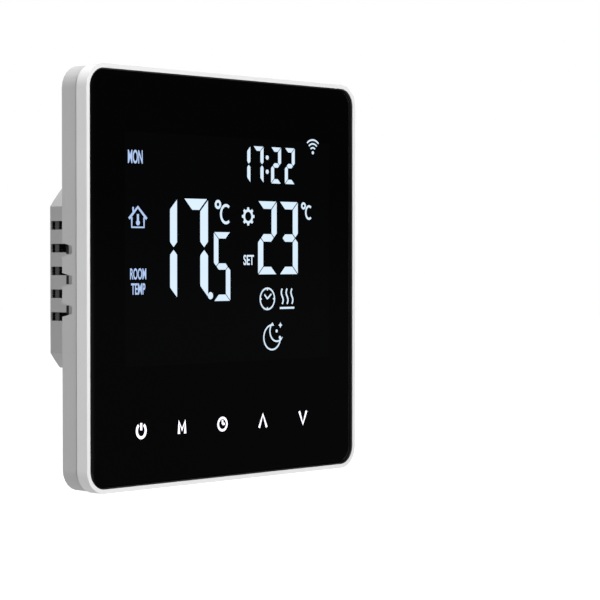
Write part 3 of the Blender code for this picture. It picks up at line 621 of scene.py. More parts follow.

# %% [markdown]
# A black bead fills the gap between the glass and the frame, as painted shade for the shadow in that gap.
# Without it the white wall of the frame would shine beside the dark glass. A larger plate minus a smaller
# one leaves the bead.

# %% Painted shade round the glass
SHADE_BEAD_CLEARANCE, SHADE_BEAD_DROP = 0.01, 0.12


def face_plate(name, inset, front, back):
    """A plate with the outline of the face, drawn in by the inset."""
    width, height = FACE_WIDTH - 2 * inset, FACE_HEIGHT - 2 * inset
    return rounded_plate(name, width, height, FACE_CORNER - inset, front, back)


shade_bead = face_plate("glass_shade_bead", LIP + SHADE_BEAD_CLEARANCE, face_low.y + SHADE_BEAD_DROP, glass_high.y)
cut(shade_bead, face_plate("inside", LIP + GLASS_GAP - SHADE_BEAD_CLEARANCE, face_low.y - 1, glass_high.y + 1))
soften(shade_bead, 0.06)
# The bead is black as painted shade for the shadow in the gap between glass and frame.
dress(shade_bead, "tape_black", "front_unit")

# %% [markdown]
# ## Front frame
#
# The frame is a thin tray without a flat bottom: a lip round the glass, a shelf that the glass is taped to
# and a skirt that slips inside the rim of the rear unit. Insets and extrusions from the front and from
# the back make all three. The display's window and five holes for the keys are then cut in the shelf.

# %% Lip, shelf and skirt
SEAM = -4.7
SHELF_FRONT, SHELF_BACK = -5.7, -4.9
SKIRT_INSET, SKIRT_WALL, SKIRT_END = 2.1, 1.1, -2.2
KEY_HOLE = 4.6
LCD_MARGIN = 0.5
CUT_FRONT, CUT_BACK = -6.5, -4.0
FRAME_ROUND = 0.11

front_frame = rounded_plate("frame_and_skirt", FACE_WIDTH, FACE_HEIGHT, FACE_CORNER, face_low.y, SEAM)
step_in(front_frame, -1, (LIP, SHELF_FRONT - face_low.y))
step_in(front_frame, 1, (SKIRT_INSET, SKIRT_END - SEAM), (SKIRT_WALL, SHELF_BACK - SKIRT_END))
print("frame and skirt:", len(front_frame.data.polygons), "faces")

# %% Window, key holes and hooks
lcd_low, lcd_high = (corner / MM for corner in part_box("lcd_panel"))
keys = [sum(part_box(f"key_led_{number}"), Vector()) / 2 / MM for number in range(1, 6)]

cut(
    front_frame,
    block("window", (lcd_low.x - LCD_MARGIN, CUT_FRONT, lcd_low.z - LCD_MARGIN),
          (lcd_high.x + LCD_MARGIN, CUT_BACK, lcd_high.z + LCD_MARGIN)),
    *[rod("key_hole", (key.x, key.z), KEY_HOLE, CUT_FRONT, CUT_BACK, 48) for key in keys],
)
HOOK_HEIGHTS, HOOK_HALF = (-22.0, 22.0), 3.0
CHIP_Y = -1.75
inside = FACE_WIDTH / 2 - SKIRT_INSET - SKIRT_WALL
HOOK_BLOCKS = (((-0.9, 0.5), (-5.3, -2.8)), ((-0.9, -0.2), (-2.9, -1.5)), ((-1.8, -0.8), (CHIP_Y, -1.5)))
for side in (-1, 1):
    for height in HOOK_HEIGHTS:
        for across, deep in HOOK_BLOCKS:
            low_x, high_x = sorted(side * (inside + reach) for reach in across)
            arm = block("hook", (low_x, deep[0], height - HOOK_HALF), (high_x, deep[1], height + HOOK_HALF))
            cut(front_frame, arm, operation="UNION")
soften(front_frame, FRAME_ROUND, segments=3)
dress(front_frame, "frame_white", "front_unit", "front_frame")

# %% [markdown]
# ## Pieces whose CAD shape is already right
#
# The CAD solids arrive as loose triangles with perfectly sharp edges. Nothing moulded or pressed is that
# sharp. So a copy is merged, its flat faces are joined again and each edge gets a fine rounding, which is
# what catches the light.

# %% A rounded copy of a CAD solid
def clean_copy(node, name):
    """The CAD solid as a new object, with its doubles merged and its flat faces whole again."""
    made = linked(name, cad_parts[node].data.copy())
    select_only(made)
    bpy.ops.object.mode_set(mode="EDIT")
    bpy.ops.mesh.select_all(action="SELECT")
    bpy.ops.mesh.customdata_custom_splitnormals_clear()
    bpy.ops.mesh.remove_doubles(threshold=0.001 * MM)
    bpy.ops.mesh.dissolve_limited(angle_limit=radians(0.5))
    close()
    return made


def rounded_copy(node, name, slot, body, width, segments=2):
    """Stands for a CAD node with the same shape and rounded edges."""
    made = clean_copy(node, name)
    soften(made, width, segments)
    return dress(made, slot, body, node)


def size_of(node):
    """Lowest and highest corner of a CAD node, in mm."""
    return tuple(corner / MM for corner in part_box(node))


def middle_of(node):
    """X and Z of a CAD node's middle, in mm."""
    low, high = size_of(node)
    return (low.x + high.x) / 2, (low.z + high.z) / 2


print("a copy keeps its CAD size:", [round(value, 2) for value in size_of("relay")[1]])

# %% Rim and box
RIM_FRONT, RIM_ROUND = SEAM + 0.3, 0.35
RIM_BAND = 0.4

rear_housing = clean_copy("rear_housing", "rim_and_box")
rim_corner = size_of("rear_housing")[1]
pick(
    rear_housing,
    "EDGE",
    lambda middle, along: abs(middle.y / MM - RIM_FRONT) < 0.01
    and max(abs(middle.x) / MM - rim_corner.x, abs(middle.z) / MM - rim_corner.z) > -RIM_BAND,
)
bpy.ops.mesh.bevel(offset=RIM_ROUND * MM, segments=3)
close()
soften(rear_housing, 0.2)
dress(rear_housing, "housing_grey", "rear_unit", "rear_housing")

# %% [markdown]
# ## The lit signs
#
# A segment display lights separate bars through the glass. Each sign is a paper-thin solid that lies on
# the glass, behind the lip, and glows. Bars are closed outlines, icons are drawn with strokes, and a few
# generic words come from Blender's own font.

# %% Light of the signs
SIGN_FRONT = GLASS_FRONT - 0.03
SIGN_BACK = GLASS_FRONT + 0.02
DIMMEST = 0.9


def light(name, colour, strength):
    """Glow that varies a little from place to place, as a lamp behind a diffuser does."""
    nodes, shader, place = start(
        name, base_color=(0, 0, 0), specular_ior_level=0.0, emission_strength=strength
    )
    dimmer = [value * DIMMEST for value in colour]
    glow = mix(nodes, noise(nodes, place, 160.0, 1.0), dimmer, colour)
    nodes.put(shader.inputs["Emission Color"], glow)


light("icy_light", (0.70, 0.85, 1.0), 1.1)
light("white_light", (0.72, 0.87, 1.0), 1.05)
light("small_sign_light", (0.50, 0.66, 1.0), 0.95)
light("key_light", (0.93, 0.90, 1.0), 1.6)
print("signs stand", round(SIGN_BACK - SIGN_FRONT, 2), "mm thick")

# %% Outlines, strokes and words
def lay_flat(made, flatten=1.0):
    """Turns what was drawn in X and Y upright, at the glass, as a mesh with its place in it."""
    select_only(made)
    bpy.ops.object.convert(target="MESH")
    made = bpy.context.object
    made.scale.z = flatten
    made.rotation_euler.x = pi / 2
    made.location.y = (SIGN_FRONT + SIGN_BACK) / 2 * MM
    return settle()


def new_curve(name, lines, closed):
    drawn = bpy.data.curves.new(name, "CURVE")
    for points, joined in zip(lines, closed):
        spline = drawn.splines.new("POLY")
        spline.points.add(len(points) - 1)
        for point, (x, z) in zip(spline.points, points):
            point.co = (x * MM, z * MM, 0, 1)
        spline.use_cyclic_u = joined
    return linked(name, drawn)


def plates(outlines):
    """Thin plates inside closed outlines. One outline inside another is a hole."""
    made = new_curve("plates", outlines, [True] * len(outlines))
    made.data.dimensions, made.data.fill_mode = "2D", "BOTH"
    made.data.extrude = (SIGN_BACK - SIGN_FRONT) / 2 * MM
    return lay_flat(made)


def strokes(lines, width, closed=()):
    """Pen strokes along lines. Those whose number is in closed run back to their start."""
    made = new_curve("strokes", lines, [number in closed for number in range(len(lines))])
    made.data.dimensions, made.data.bevel_depth = "3D", width / 2 * MM
    made.data.bevel_resolution, made.data.use_fill_caps = 2, True
    return lay_flat(made, (SIGN_BACK - SIGN_FRONT) / width)


print("strokes and plates lie", round(SIGN_FRONT - GLASS_FRONT, 2), "mm from the glass")


# %% Words, arcs and signs
def lettering(text, raise_by, weight, size=1.0, align="LEFT"):
    """Raised text, still lying in X and Y, as a mesh."""
    bpy.ops.object.select_all(action="DESELECT")
    bpy.ops.object.text_add()
    text_data = bpy.context.object.data
    text_data.body, text_data.offset, text_data.extrude = text, weight, raise_by * MM
    text_data.size, text_data.align_x = size, align
    bpy.ops.object.convert(target="MESH")
    return bpy.context.object


def words(text, low, high, weight=0.02):
    """A word stretched to fill the area between two corners."""
    made = lettering(text, (SIGN_BACK - SIGN_FRONT) / 2, weight)
    for axis in (0, 1):
        values = [vertex.co[axis] for vertex in made.data.vertices]
        ratio = (high[axis] - low[axis]) * MM / (max(values) - min(values))
        for vertex, value in zip(made.data.vertices, values):
            vertex.co[axis] = low[axis] * MM + (value - min(values)) * ratio
    return lay_flat(made)


def arc(centre, radius, start, end, steps=20, tall=1.0):
    """Points on a circle from one angle to another, in degrees, counterclockwise from the right."""
    turns = [radians(start + (end - start) * step / steps) for step in range(steps + 1)]
    return [(centre[0] + radius * cos(t), centre[1] + radius * tall * sin(t)) for t in turns]


def sign(name, glow, *parts):
    """Joins what was drawn into one sign that glows."""
    made = coat(join(name, *parts), glow)
    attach(made, "front_unit")
    print(name, "has", len(made.data.polygons), "faces")


# %% Seven bars of a digit
BARS = {"0": "abcdef", "1": "bc", "2": "abged", "3": "abgcd", "5": "afgcd", "7": "abc"}


def digit(which, x, z, width, height, stroke, gap=0.14):
    """Outlines of a digit's lit bars. (x, z) is its lower left corner."""
    half, middle = stroke / 2, height / 2
    left, right = stroke, width - stroke
    shapes = {
        "a": [(gap, height), (width - gap, height),
              (right - gap, height - stroke), (left + gap, height - stroke)],
        "d": [(gap, 0), (left + gap, stroke), (right - gap, stroke), (width - gap, 0)],
        "g": [(half + gap, middle), (left + gap, middle + half), (right - gap, middle + half),
              (width - half - gap, middle), (right - gap, middle - half), (left + gap, middle - half)],
        "b": [(width, height - gap), (width, middle + half + gap), (width - half, middle + gap),
              (right, middle + half + gap), (right, height - stroke - gap)],
    }
    shapes["c"] = [(a, height - b) for a, b in shapes["b"]]
    shapes["f"] = [(width - a, b) for a, b in shapes["b"]]
    shapes["e"] = [(width - a, height - b) for a, b in shapes["b"]]
    return [[(x + a, z + b) for a, b in shapes[bar]] for bar in BARS[which]]


def bars(outlines, round_off=0.28):
    """Bars with slightly rounded corners."""
    made = plates(outlines)
    pick(made, "EDGE", lambda middle, along: abs(along.y) > 0.9)
    bpy.ops.mesh.bevel(offset=round_off * MM, segments=3, clamp_overlap=True)
    close()
    return made


print("digits have up to", max(map(len, BARS.values())), "lit bars")

# %% Digits on the display
BIG = dict(z=-4.4, height=21.7, width=7.6, gap=0.3)
SET = dict(z=0.7, height=16.5, width=6.2, stroke=1.7, gap=0.17)
TIME = dict(z=21.3, height=8.2, width=3.35, stroke=1.0, gap=0.13)
DOTS = (((-6.1, -3.9), 0.8), ((12.35, 27.1), 0.5), ((12.35, 23.9), 0.5))


def degrees_c(ring_centre, radius, centre, wide, tall, pen):
    """A degree ring and the letter C after it."""
    return strokes(
        [arc(ring_centre, radius, 0, 342, 19), arc(centre, wide, 52, 308, 24, tall / wide)], pen, {0}
    )


sign(
    "big_digits",
    "icy_light",
    bars(digit("1", -24.1, stroke=2.1, **BIG) + digit("7", -14.5, stroke=2.4, **BIG), 0.45),
)
sign(
    "digits",
    "white_light",
    bars(digit("5", -5.0, -5.1, 5.2, 15.2, 1.4)),
    bars(digit("2", 9.3, **SET) + digit("3", 16.5, **SET)),
    bars(digit("1", 3.4, **TIME) + digit("7", 7.75, **TIME), 0.18),
    bars(digit("2", 13.65, **TIME) + digit("2", 18.3, **TIME), 0.18),
    plates([arc(middle, radius, 0, 342, 19) for middle, radius in DOTS]),
    degrees_c((-3.7, 16.2), 0.72, (-1.15, 14.1), 1.6, 1.95, 0.62),
    degrees_c((24.7, 16.4), 0.58, (26.6, 14.9), 1.1, 1.45, 0.52),
)

# %% [markdown]
# The small signs say what the thermostat is doing: the weekday, the room's temperature, the program's
# clock, heating, night mode and the radio link. They are line drawings of a pen's width on a screen, so
# each is a few strokes with round ends. A wave is a sine, a gear is a ring that steps in and out.

# %% Signs in the left column
PEN = 0.45


def ring(centre, radius):
    return arc(centre, radius, 0, 345, 23)


walls = [(-30.0, 13.0), (-30.0, 10.9), (-26.4, 10.9), (-26.4, 13.0)]
roof = [(-30.8, 12.7), (-28.2, 15.2), (-25.6, 12.7)]
sign(
    "room_signs",
    "small_sign_light",
    words("MON", (-31.1, 24.4), (-26.8, 27.3)),
    words("ROOM", (-30.5, -0.2), (-25.8, 2.2)),
    words("TEMP", (-30.2, -3.4), (-26.05, -1.0)),
    strokes([walls, [(-29.6, 14.2), (-29.6, 15.2)]], PEN),
    strokes([roof, [(-28.2, 11.9), (-28.2, 13.7)]], 0.62),
    plates([ring((-28.2, 11.85), 0.55)]),
)

# %% Gear, word and radio link
GEAR = (6.05, 13.7)
TEETH = 8
teeth = []
for tooth in range(TEETH):
    for shift, radius in ((-13, 1.6), (-8, 2.05), (8, 2.05), (13, 1.6)):
        angle = radians(tooth * 360 / TEETH + shift)
        teeth.append((GEAR[0] + radius * cos(angle), GEAR[1] + radius * sin(angle)))

LINK = (27.95, 28.75)
sign(
    "program_signs",
    "white_light",
    plates([teeth, ring(GEAR, 1.05)]),
    words("SET", (4.5, 2.8), (7.9, 5.1)),
    plates([ring(LINK, 0.38)]),
    strokes([arc(LINK, radius, 48, 132, 12) for radius in (1.15, 2.05, 2.95)], 0.38),
)

# %% Clock, heating and night
CLOCK, MOON = (12.4, -4.85), (14.0, -13.6)


def clock(centre, radius, hands):
    """A ring and two hands, each given as (x, z) from its middle."""
    return [ring(centre, radius)] + [[centre, (centre[0] + x, centre[1] + z)] for x, z in hands]


def wave(x, low, high, swing=0.32, steps=12):
    """An upright wavy line."""
    parts = [step / steps for step in range(steps + 1)]
    return [(x + swing * sin(2 * pi * part), low + (high - low) * part) for part in parts]


def star(centre, reach):
    """A small star with four points."""
    points = []
    for step in range(8):
        radius = reach if step % 2 == 0 else reach * 0.5
        points.append((centre[0] + radius * cos(step * pi / 4), centre[1] + radius * sin(step * pi / 4)))
    return points


ticks = [
    [(CLOCK[0] + 1.9 * cos(t), CLOCK[1] + 1.9 * sin(t)), (CLOCK[0] + 2.3 * cos(t), CLOCK[1] + 2.3 * sin(t))]
    for t in (0, pi / 2, pi, 3 * pi / 2)
]
crescent = arc(MOON, 2.8, 80, 350, 30) + arc((15.6, -12.2), 2.35, -40, -230, 18)
sign(
    "status_signs",
    "white_light",
    strokes(clock(CLOCK, 2.4, [(-1.0, 1.0), (1.3, 1.1)]) + ticks, 0.38, {0}),
    strokes([wave(x, -6.1, -2.6) for x in (17.4, 19.05, 20.7)] + [[(16.6, -7.0), (21.5, -7.0)]], PEN),
    strokes([crescent], 0.38, {0}),
    plates([star((16.75, -10.9), 0.65), ring((15.5, -12.2), 0.36), ring((16.6, -13.7), 0.36)]),
)

# %% Signs of the touch keys
KEY_PEN = 0.62
SIGN_SHIFTS = (0.3, -0.4, -0.7, -0.5, 0.1)
power, mode, timer, up, down = [Vector((key.x + shift, key.z)) for key, shift in zip(keys, SIGN_SHIFTS)]


def drawn(centre, points):
    """A line of points given from its own middle."""
    return [(centre.x + x, centre.y + z) for x, z in points]


letter_m = [(-0.95, -1.35), (-0.95, 1.35), (0, -0.5), (0.95, 1.35), (0.95, -1.35)]
chevron = [(-1.25, -1.5), (0, 1.5), (1.25, -1.5)]
sign(
    "key_signs",
    "key_light",
    strokes([arc(power, 1.3, 125, 415, 26, 1.15), drawn(power, [(0, 0.1), (0, 1.65)])], KEY_PEN),
    strokes([drawn(mode, letter_m)], 0.74),
    strokes(clock(timer, 1.38, [(0, 0.9), (0.7, 0.05)]), 0.54, {0}),
    strokes([drawn(up, chevron), drawn(down, [(x, -z) for x, z in chevron])], KEY_PEN),
)

# %% [markdown]
# ## Vents and notches
#
# Warm air leaves the box through five slots in each side. A fine black screen sits just inside each slot as
# painted shade that darkens it, and an upright rib stiffens the wall near its rear end; the rib is dark grey
# as painted shade too. The screen starts as a grid, and a Wireframe modifier leaves its bars. Room air
# reaches the sensor through three notches in the rim. Behind each one, a black pad stands as painted shade
# in the gap, beside a grey lug of the flange.

# %% Sizes of the vents
VENT_PITCH, VENT_HEIGHT, VENT_MIDDLE = 5.1, 1.92, 1.5
VENT_START, VENT_END = 9.0, size_of("rear_housing")[1].y - 0.3
VENTS = [VENT_MIDDLE + VENT_PITCH * step for step in range(-2, 3)]
BOX_SIDE = 23.3
SCREEN_RECESS, SCREEN_THICKNESS = 0.45, 0.3
RIB_DEPTHS = (22.85, 24.1)
print("vents run from", VENT_START, "to", round(VENT_END, 2), "mm")

# %% Vent screens of painted shade
def screen(side, height):
    """Black grid that fills one slot, as painted shade that darkens it."""
    x = side * (BOX_SIDE - SCREEN_RECESS - SCREEN_THICKNESS / 2) * MM
    bpy.ops.object.select_all(action="DESELECT")
    bpy.ops.mesh.primitive_grid_add(
        x_subdivisions=4, y_subdivisions=34, size=1, rotation=(0, pi / 2, 0),
        location=(x, (VENT_START + VENT_END) / 2 * MM, height * MM),
    )
    made = bpy.context.object
    made.scale = ((VENT_HEIGHT + 0.1) * MM, (VENT_END - VENT_START) * MM, 1)
    settle()
    modify(made, "WIREFRAME", thickness=SCREEN_THICKNESS * MM, use_even_offset=False, use_boundary=True)
    return made


# The screens are painted shade: near-black grids that make the slots read dark.
for side, word in ((-1, "left"), (1, "right")):
    screens = join("vent_shade_screens_" + word, *[screen(side, height) for height in VENTS])
    dress(coat(screens, "slot_shade_black"), "black_plastic", "rear_unit", mixed=True)

# %% Ribs in the slots, and pads in the notches
NOTCH_PITCH, NOTCH_MIDDLE = 6.3, -0.2
PAD_LOW, PAD_HIGH = 41.0, 41.7
# The black pads are painted shade for the dark gap seen through each notch; the grey pads keep the housing's
# own grey.
PADS = (("tape_black", (-0.85, -0.03), 0.9), ("housing_grey", (-1.75, -0.85), 0.9))
RIB_LOW, RIB_HIGH = 0.12, 0.42


def sideways(side, first, second):
    """Two distances from the middle as low and high x on one side."""
    return sorted((side * first, side * second))


for side, word in ((-1, "left"), (1, "right")):
    low_x, high_x = sideways(side, BOX_SIDE - RIB_LOW, BOX_SIDE - RIB_HIGH)
    half = VENT_HEIGHT / 2 + 0.02
    rib_row = join("vent_ribs_" + word, *[
        block("rib", (low_x, RIB_DEPTHS[0], height - half), (high_x, RIB_DEPTHS[1], height + half))
        for height in VENTS
    ])
    soften(rib_row, 0.08)
    # The ribs are housing plastic coloured dark grey as painted shade, because they sit in the slots' shade.
    dress(coat(rib_row, "rib_shade_grey"), "housing_grey", "rear_unit", mixed=True)

    low_x, high_x = sideways(side, PAD_LOW, PAD_HIGH)
    for (slot, (low_y, high_y), half) in PADS:
        pad_row = join(f"notch_{slot}_{word}", *[
            block("pad", (low_x, low_y, NOTCH_MIDDLE + NOTCH_PITCH * step - half),
                  (high_x, high_y, NOTCH_MIDDLE + NOTCH_PITCH * step + half))
            for step in (-1, 0, 1)
        ])
        soften(pad_row, 0.04)
        dress(pad_row, slot, "rear_unit")

# %% [markdown]
# ## Display stack and key lamps
#
# Behind the glass lie the segment display, a clear light guide, a strip of lamps and a white film, in a
# plastic holder. Each touch key has a sprung coil that carries the finger's touch from the glass to the
# board, and a small lamp in a shaft of its own. The coil is drawn as a curve with a round section.

# %% Display stack
for node, name, slot, width in (
    ("glass_tape", "tape_band", "tape_black", 0.05),
    ("light_guide", "guide_plate", "clear_guide", 0.12),
    ("backlight_bar", "lamp_strip", "led_white", 0.08),
    ("reflector_sheet", "white_sheet", "white_film", 0.03),
    ("lcd_holder", "display_holder", "white_film", 0.18),
    ("key_light_block", "key_shafts", "black_plastic", 0.15),
):
    rounded_copy(node, name, slot, "front_unit", width)

lcd_glass = clean_copy("lcd_panel", "display_cell")
POLARISER_EDGE, POLARISER_RAISE = 1.2, 0.12
for way in (-1, 1):
    step_in(lcd_glass, way, (POLARISER_EDGE, -way * POLARISER_RAISE))
soften(lcd_glass, 0.05)
dress(lcd_glass, "lcd_black", "front_unit", "lcd_panel")

# %% Key springs
SPRING_RADIUS, SPRING_WIRE, SPRING_TURNS = 3.3, 0.22, 3.0
SPRING_STEPS = 84


def spring(name, key):
    low_y = size_of(name)[0].y + SPRING_WIRE
    high_y = size_of(name)[1].y - SPRING_WIRE
    drawn = bpy.data.curves.new(name + "_coil", "CURVE")
    drawn.dimensions, drawn.bevel_depth = "3D", SPRING_WIRE * MM
    drawn.bevel_resolution, drawn.use_fill_caps = 3, True
    spline = drawn.splines.new("POLY")
    spline.points.add(SPRING_STEPS)
    for step, point in enumerate(spline.points):
        part = step / SPRING_STEPS
        angle = 2 * pi * SPRING_TURNS * part
        x, z = key.x + SPRING_RADIUS * cos(angle), key.z + SPRING_RADIUS * sin(angle)
        point.co = (x * MM, (low_y + (high_y - low_y) * part) * MM, z * MM, 1)
    select_only(linked(name + "_coil", drawn))
    bpy.ops.object.convert(target="MESH")
    bpy.ops.object.shade_smooth()
    return dress(bpy.context.object, "bright_steel", "front_unit", name)


for number, key in enumerate(keys, 1):
    spring(f"key_spring_{number}", key)

# %% Key lamps
LENS_INSET, LENS_DROP = 0.25, 0.12
for number in range(1, 6):
    node = f"key_led_{number}"
    package = clean_copy(node, f"key_lamp_{number}")
    step_in(package, -1, (LENS_INSET, LENS_DROP))
    coat(package, "led_white")
    package.data.materials.append(finishes["phosphor"])
    for face in package.data.polygons:
        face.material_index = int(face.select)
    soften(package, 0.04)
    dress(package, "led_white", "front_unit", node, mixed=True)

# %% [markdown]
# ## Display board
#
# The board's parts are on its back, towards the wall. The controller is a flat black package with sixteen
# bent legs on each side. One leg is bent by extruding its end face twice, then copied. The radio board has
# a printed aerial and a tin shield with ventilation holes, and rows of ceramic parts with tinned ends
# surround them.

# %% Board and controller
BOARD_BACK = size_of("display_board")[1].y
rounded_copy("display_board", "board_with_tracks", "board_green", "front_unit", 0.06)

chip_low, chip_high = size_of("microcontroller")
LEG_PITCH, LEGS = 0.5, 16
LEG_WIDTH, LEG_THICK, LEG_REACH = 0.22, 0.12, 1.0
LEG_FOOT, LEG_SLOPE, LEG_RISE, LEG_STUB = 0.45, 0.22, 0.8, 0.5
chip_middle = middle_of("microcontroller")


def bent_leg(z):
    """Gull wing leg on the chip's +X side: a foot on the board, a slope up and a stub into the chip."""
    tip, half = chip_high.x + LEG_REACH, LEG_WIDTH / 2
    made = block(
        "leg", (tip - LEG_FOOT, BOARD_BACK, z - half), (tip, BOARD_BACK + LEG_THICK, z + half)
    )
    pick(made, "FACE", lambda centre, normal: normal.x < -0.9)
    push(x=-LEG_SLOPE, y=LEG_RISE)
    push(x=-LEG_STUB)
    close()
    return made


first = bent_leg(chip_middle[1] - LEG_PITCH * (LEGS - 1) / 2)
row = join("row", *[moved(first, z=LEG_PITCH * step) for step in range(1, LEGS)], first)
legs = join("controller_legs", *[moved(row, turn=90 * side, about=chip_middle) for side in (1, 2, 3)], row)
dress(legs, "tin", "front_unit")

chip = clean_copy("microcontroller", "controller_package")
pin_one = (chip_low.x + 1.3, chip_low.z + 1.3)
cut(chip, rod("dimple", pin_one, 0.55, chip_high.y - 0.12, chip_high.y + 1, 24))
soften(chip, 0.15)
dress(chip, "black_plastic", "front_unit", "microcontroller")

# %% Radio board, shield and aerial
rounded_copy("wireless_module", "radio_board", "board_green", "front_unit", 0.05)

shield_back = size_of("wireless_shield")[1].y
shield = clean_copy("wireless_shield", "radio_shield")
HOLE_PITCH, HOLE_RADIUS, HOLE_DEPTH = 3.2, 0.5, 0.25
middle_x, middle_z = middle_of("wireless_shield")
for across in (-1, 0, 1):
    for up in (-1, 0, 1):
        centre = (middle_x + HOLE_PITCH * across, middle_z + HOLE_PITCH * up)
        cut(shield, rod("hole", centre, HOLE_RADIUS, shield_back - HOLE_DEPTH, shield_back + 1, 16))
soften(shield, 0.12)
dress(shield, "tin", "front_unit", "wireless_shield")

module_high = size_of("wireless_module")[1]
AERIAL_BARS, AERIAL_STEP, AERIAL_WIDTH, AERIAL_RAISE = 7, 1.7, 0.45, 0.04
low_z, high_z = module_high.z - 4.6, module_high.z - 0.9
back = module_high.y + AERIAL_RAISE
aerial = []
for bar in range(AERIAL_BARS):
    x = middle_x + AERIAL_STEP * (bar - (AERIAL_BARS - 1) / 2)
    aerial.append(block("bar", (x, module_high.y, low_z), (x + AERIAL_WIDTH, back, high_z)))
    if bar:
        z = high_z - AERIAL_WIDTH if bar % 2 else low_z
        end = (x + AERIAL_WIDTH, back, z + AERIAL_WIDTH)
        aerial.append(block("link", (x - AERIAL_STEP, module_high.y, z), end))
aerial = join("printed_aerial", *aerial)
soften(aerial, 0.012, segments=1)
dress(aerial, "tin", "front_unit")

# %% Buzzer and room sensor
BUZZER_RADIUS = 4.4
low_y, high_y = (corner.y for corner in size_of("buzzer"))
buzzer = turned("buzzer_case", middle_of("buzzer"), [
    (0, low_y), (BUZZER_RADIUS - 0.2, low_y), (BUZZER_RADIUS, low_y + 0.2),
    (BUZZER_RADIUS, high_y - 0.35), (BUZZER_RADIUS - 0.35, high_y), (1.5, high_y),
    (1.35, high_y - 0.15), (0.9, high_y - 0.15), (0.8, high_y - 1.2), (0, high_y - 1.2),
], 48)
soften(buzzer, 0.08)
dress(buzzer, "black_plastic", "front_unit", "buzzer")

sense_low, sense_high = size_of("room_sensor")
SENSE_X, SENSE_Y = (sense_low.x + sense_high.x) / 2, (sense_low.y + sense_high.y) / 2
SENSE_RADIUS, SENSE_TALL, NECK_LENGTH, NECK_SHARE = 0.88, 1.35, 0.35, 0.7
WIRE_APART, WIRE_HALF, WIRE_TOP = 0.35, 0.13, -0.9
bpy.ops.object.select_all(action="DESELECT")
bpy.ops.mesh.primitive_uv_sphere_add(
    segments=32, ring_count=16, radius=SENSE_RADIUS * MM,
    location=(SENSE_X * MM, SENSE_Y * MM, 0), scale=(1, 1, SENSE_TALL),
)
bead = settle()
pick(bead, "FACE", lambda centre, normal: normal.z < -0.97)
push(z=-NECK_LENGTH)
bpy.ops.transform.resize(value=(NECK_SHARE, NECK_SHARE, 1))
close()
bpy.ops.object.shade_smooth()
wires = []
for side in (-1, 1):
    x = SENSE_X + side * WIRE_APART
    far_corner = (x + WIRE_HALF, SENSE_Y + WIRE_HALF, WIRE_TOP)
    wire = block("wire", (x - WIRE_HALF, SENSE_Y - WIRE_HALF, sense_low.z), far_corner)
    soften(wire, 0.1, 3)
    wires.append(coat(wire, "tin"))
sensor = join("sensor_bead", coat(bead, "sensor_epoxy"), *wires)
dress(sensor, "sensor_epoxy", "front_unit", "room_sensor", mixed=True)

# %% Ceramic parts with tinned ends
PART_LENGTH, PART_WIDTH, PART_HEIGHT, PART_PITCH = 1.6, 0.8, 0.45, 2.6
END, END_PROUD = 0.3, 0.03
PART_ROWS = ((-25.0, 20.0, 6), (-25.0, 16.5, 6), (13.0, 20.0, 6), (13.0, 16.5, 6), (-25.0, -24.0, 3),
             (21.5, -8.0, 3), (21.5, -12.0, 3), (-26.0, -9.0, 3), (-26.0, -12.5, 3), (-9.0, 26.0, 8))
middle = block("middle", (END, BOARD_BACK, 0), (PART_LENGTH - END, BOARD_BACK + PART_HEIGHT, PART_WIDTH))
coat(middle, "capacitor_box")
ends = []
for low_x in (0, PART_LENGTH - END):
    far_corner = (low_x + END, BOARD_BACK + PART_HEIGHT + END_PROUD, PART_WIDTH + END_PROUD)
    end_cap = block("end", (low_x, BOARD_BACK, -END_PROUD), far_corner)
    soften(end_cap, 0.06)
    ends.append(coat(end_cap, "tin"))
part = join("ceramic", middle, *ends)
copies = [moved(part, x=x + PART_PITCH * step, z=z) for x, z, count in PART_ROWS for step in range(count)]
bpy.data.objects.remove(part, do_unlink=True)
dress(join("ceramic_parts", *copies), "tin", "front_unit", mixed=True)

# %% Plug with pins
PIN_PITCH, PINS = 2.54, 8
plug_low, plug_high = size_of("pin_plug")
PLUG_Z = (plug_low.z + plug_high.z) / 2
STRIP_BACK, PIN_HALF, PIN_POINT = CHIP_Y + 2.4, 0.3, 0.14
NICK_HALF, NICK_DEPTH = 0.3, 0.25
plug = block("strip", tuple(plug_low), (plug_high.x, STRIP_BACK, plug_high.z))
for step in range(1, PINS):
    x = plug_low.x + PIN_PITCH * step
    for edge in (plug_low.z, plug_high.z):
        near_corner = (x - NICK_HALF, CHIP_Y - 1, edge - NICK_DEPTH)
        cut(plug, block("nick", near_corner, (x + NICK_HALF, STRIP_BACK + 1, edge + NICK_DEPTH)))
soften(plug, 0.08)
pins = []
for step in range(PINS):
    x = plug_low.x + PIN_PITCH * (step + 0.5)
    pin = block("pin", (x - PIN_HALF, STRIP_BACK - 0.2, PLUG_Z - PIN_HALF),
                (x + PIN_HALF, plug_high.y - PIN_POINT * 2, PLUG_Z + PIN_HALF))
    pick(pin, "FACE", facing(1))
    bpy.ops.mesh.inset(thickness=PIN_POINT * MM, depth=PIN_POINT * 2 * MM)
    close()
    soften(pin, 0.03)
    pins.append(coat(pin, "tin"))
plug = join("plug_and_pins", coat(plug, "black_plastic"), *pins)
dress(plug, "black_plastic", "front_unit", "pin_plug", mixed=True)

# %% [markdown]
# ## Mains parts
#
# The inner cover shuts in the board with the relay, the transformer and the rest. These keep the CAD
# outlines, with moulded or shrunk edges, except for the round ones, which are spun from a profile like
# the real turned or drawn parts.

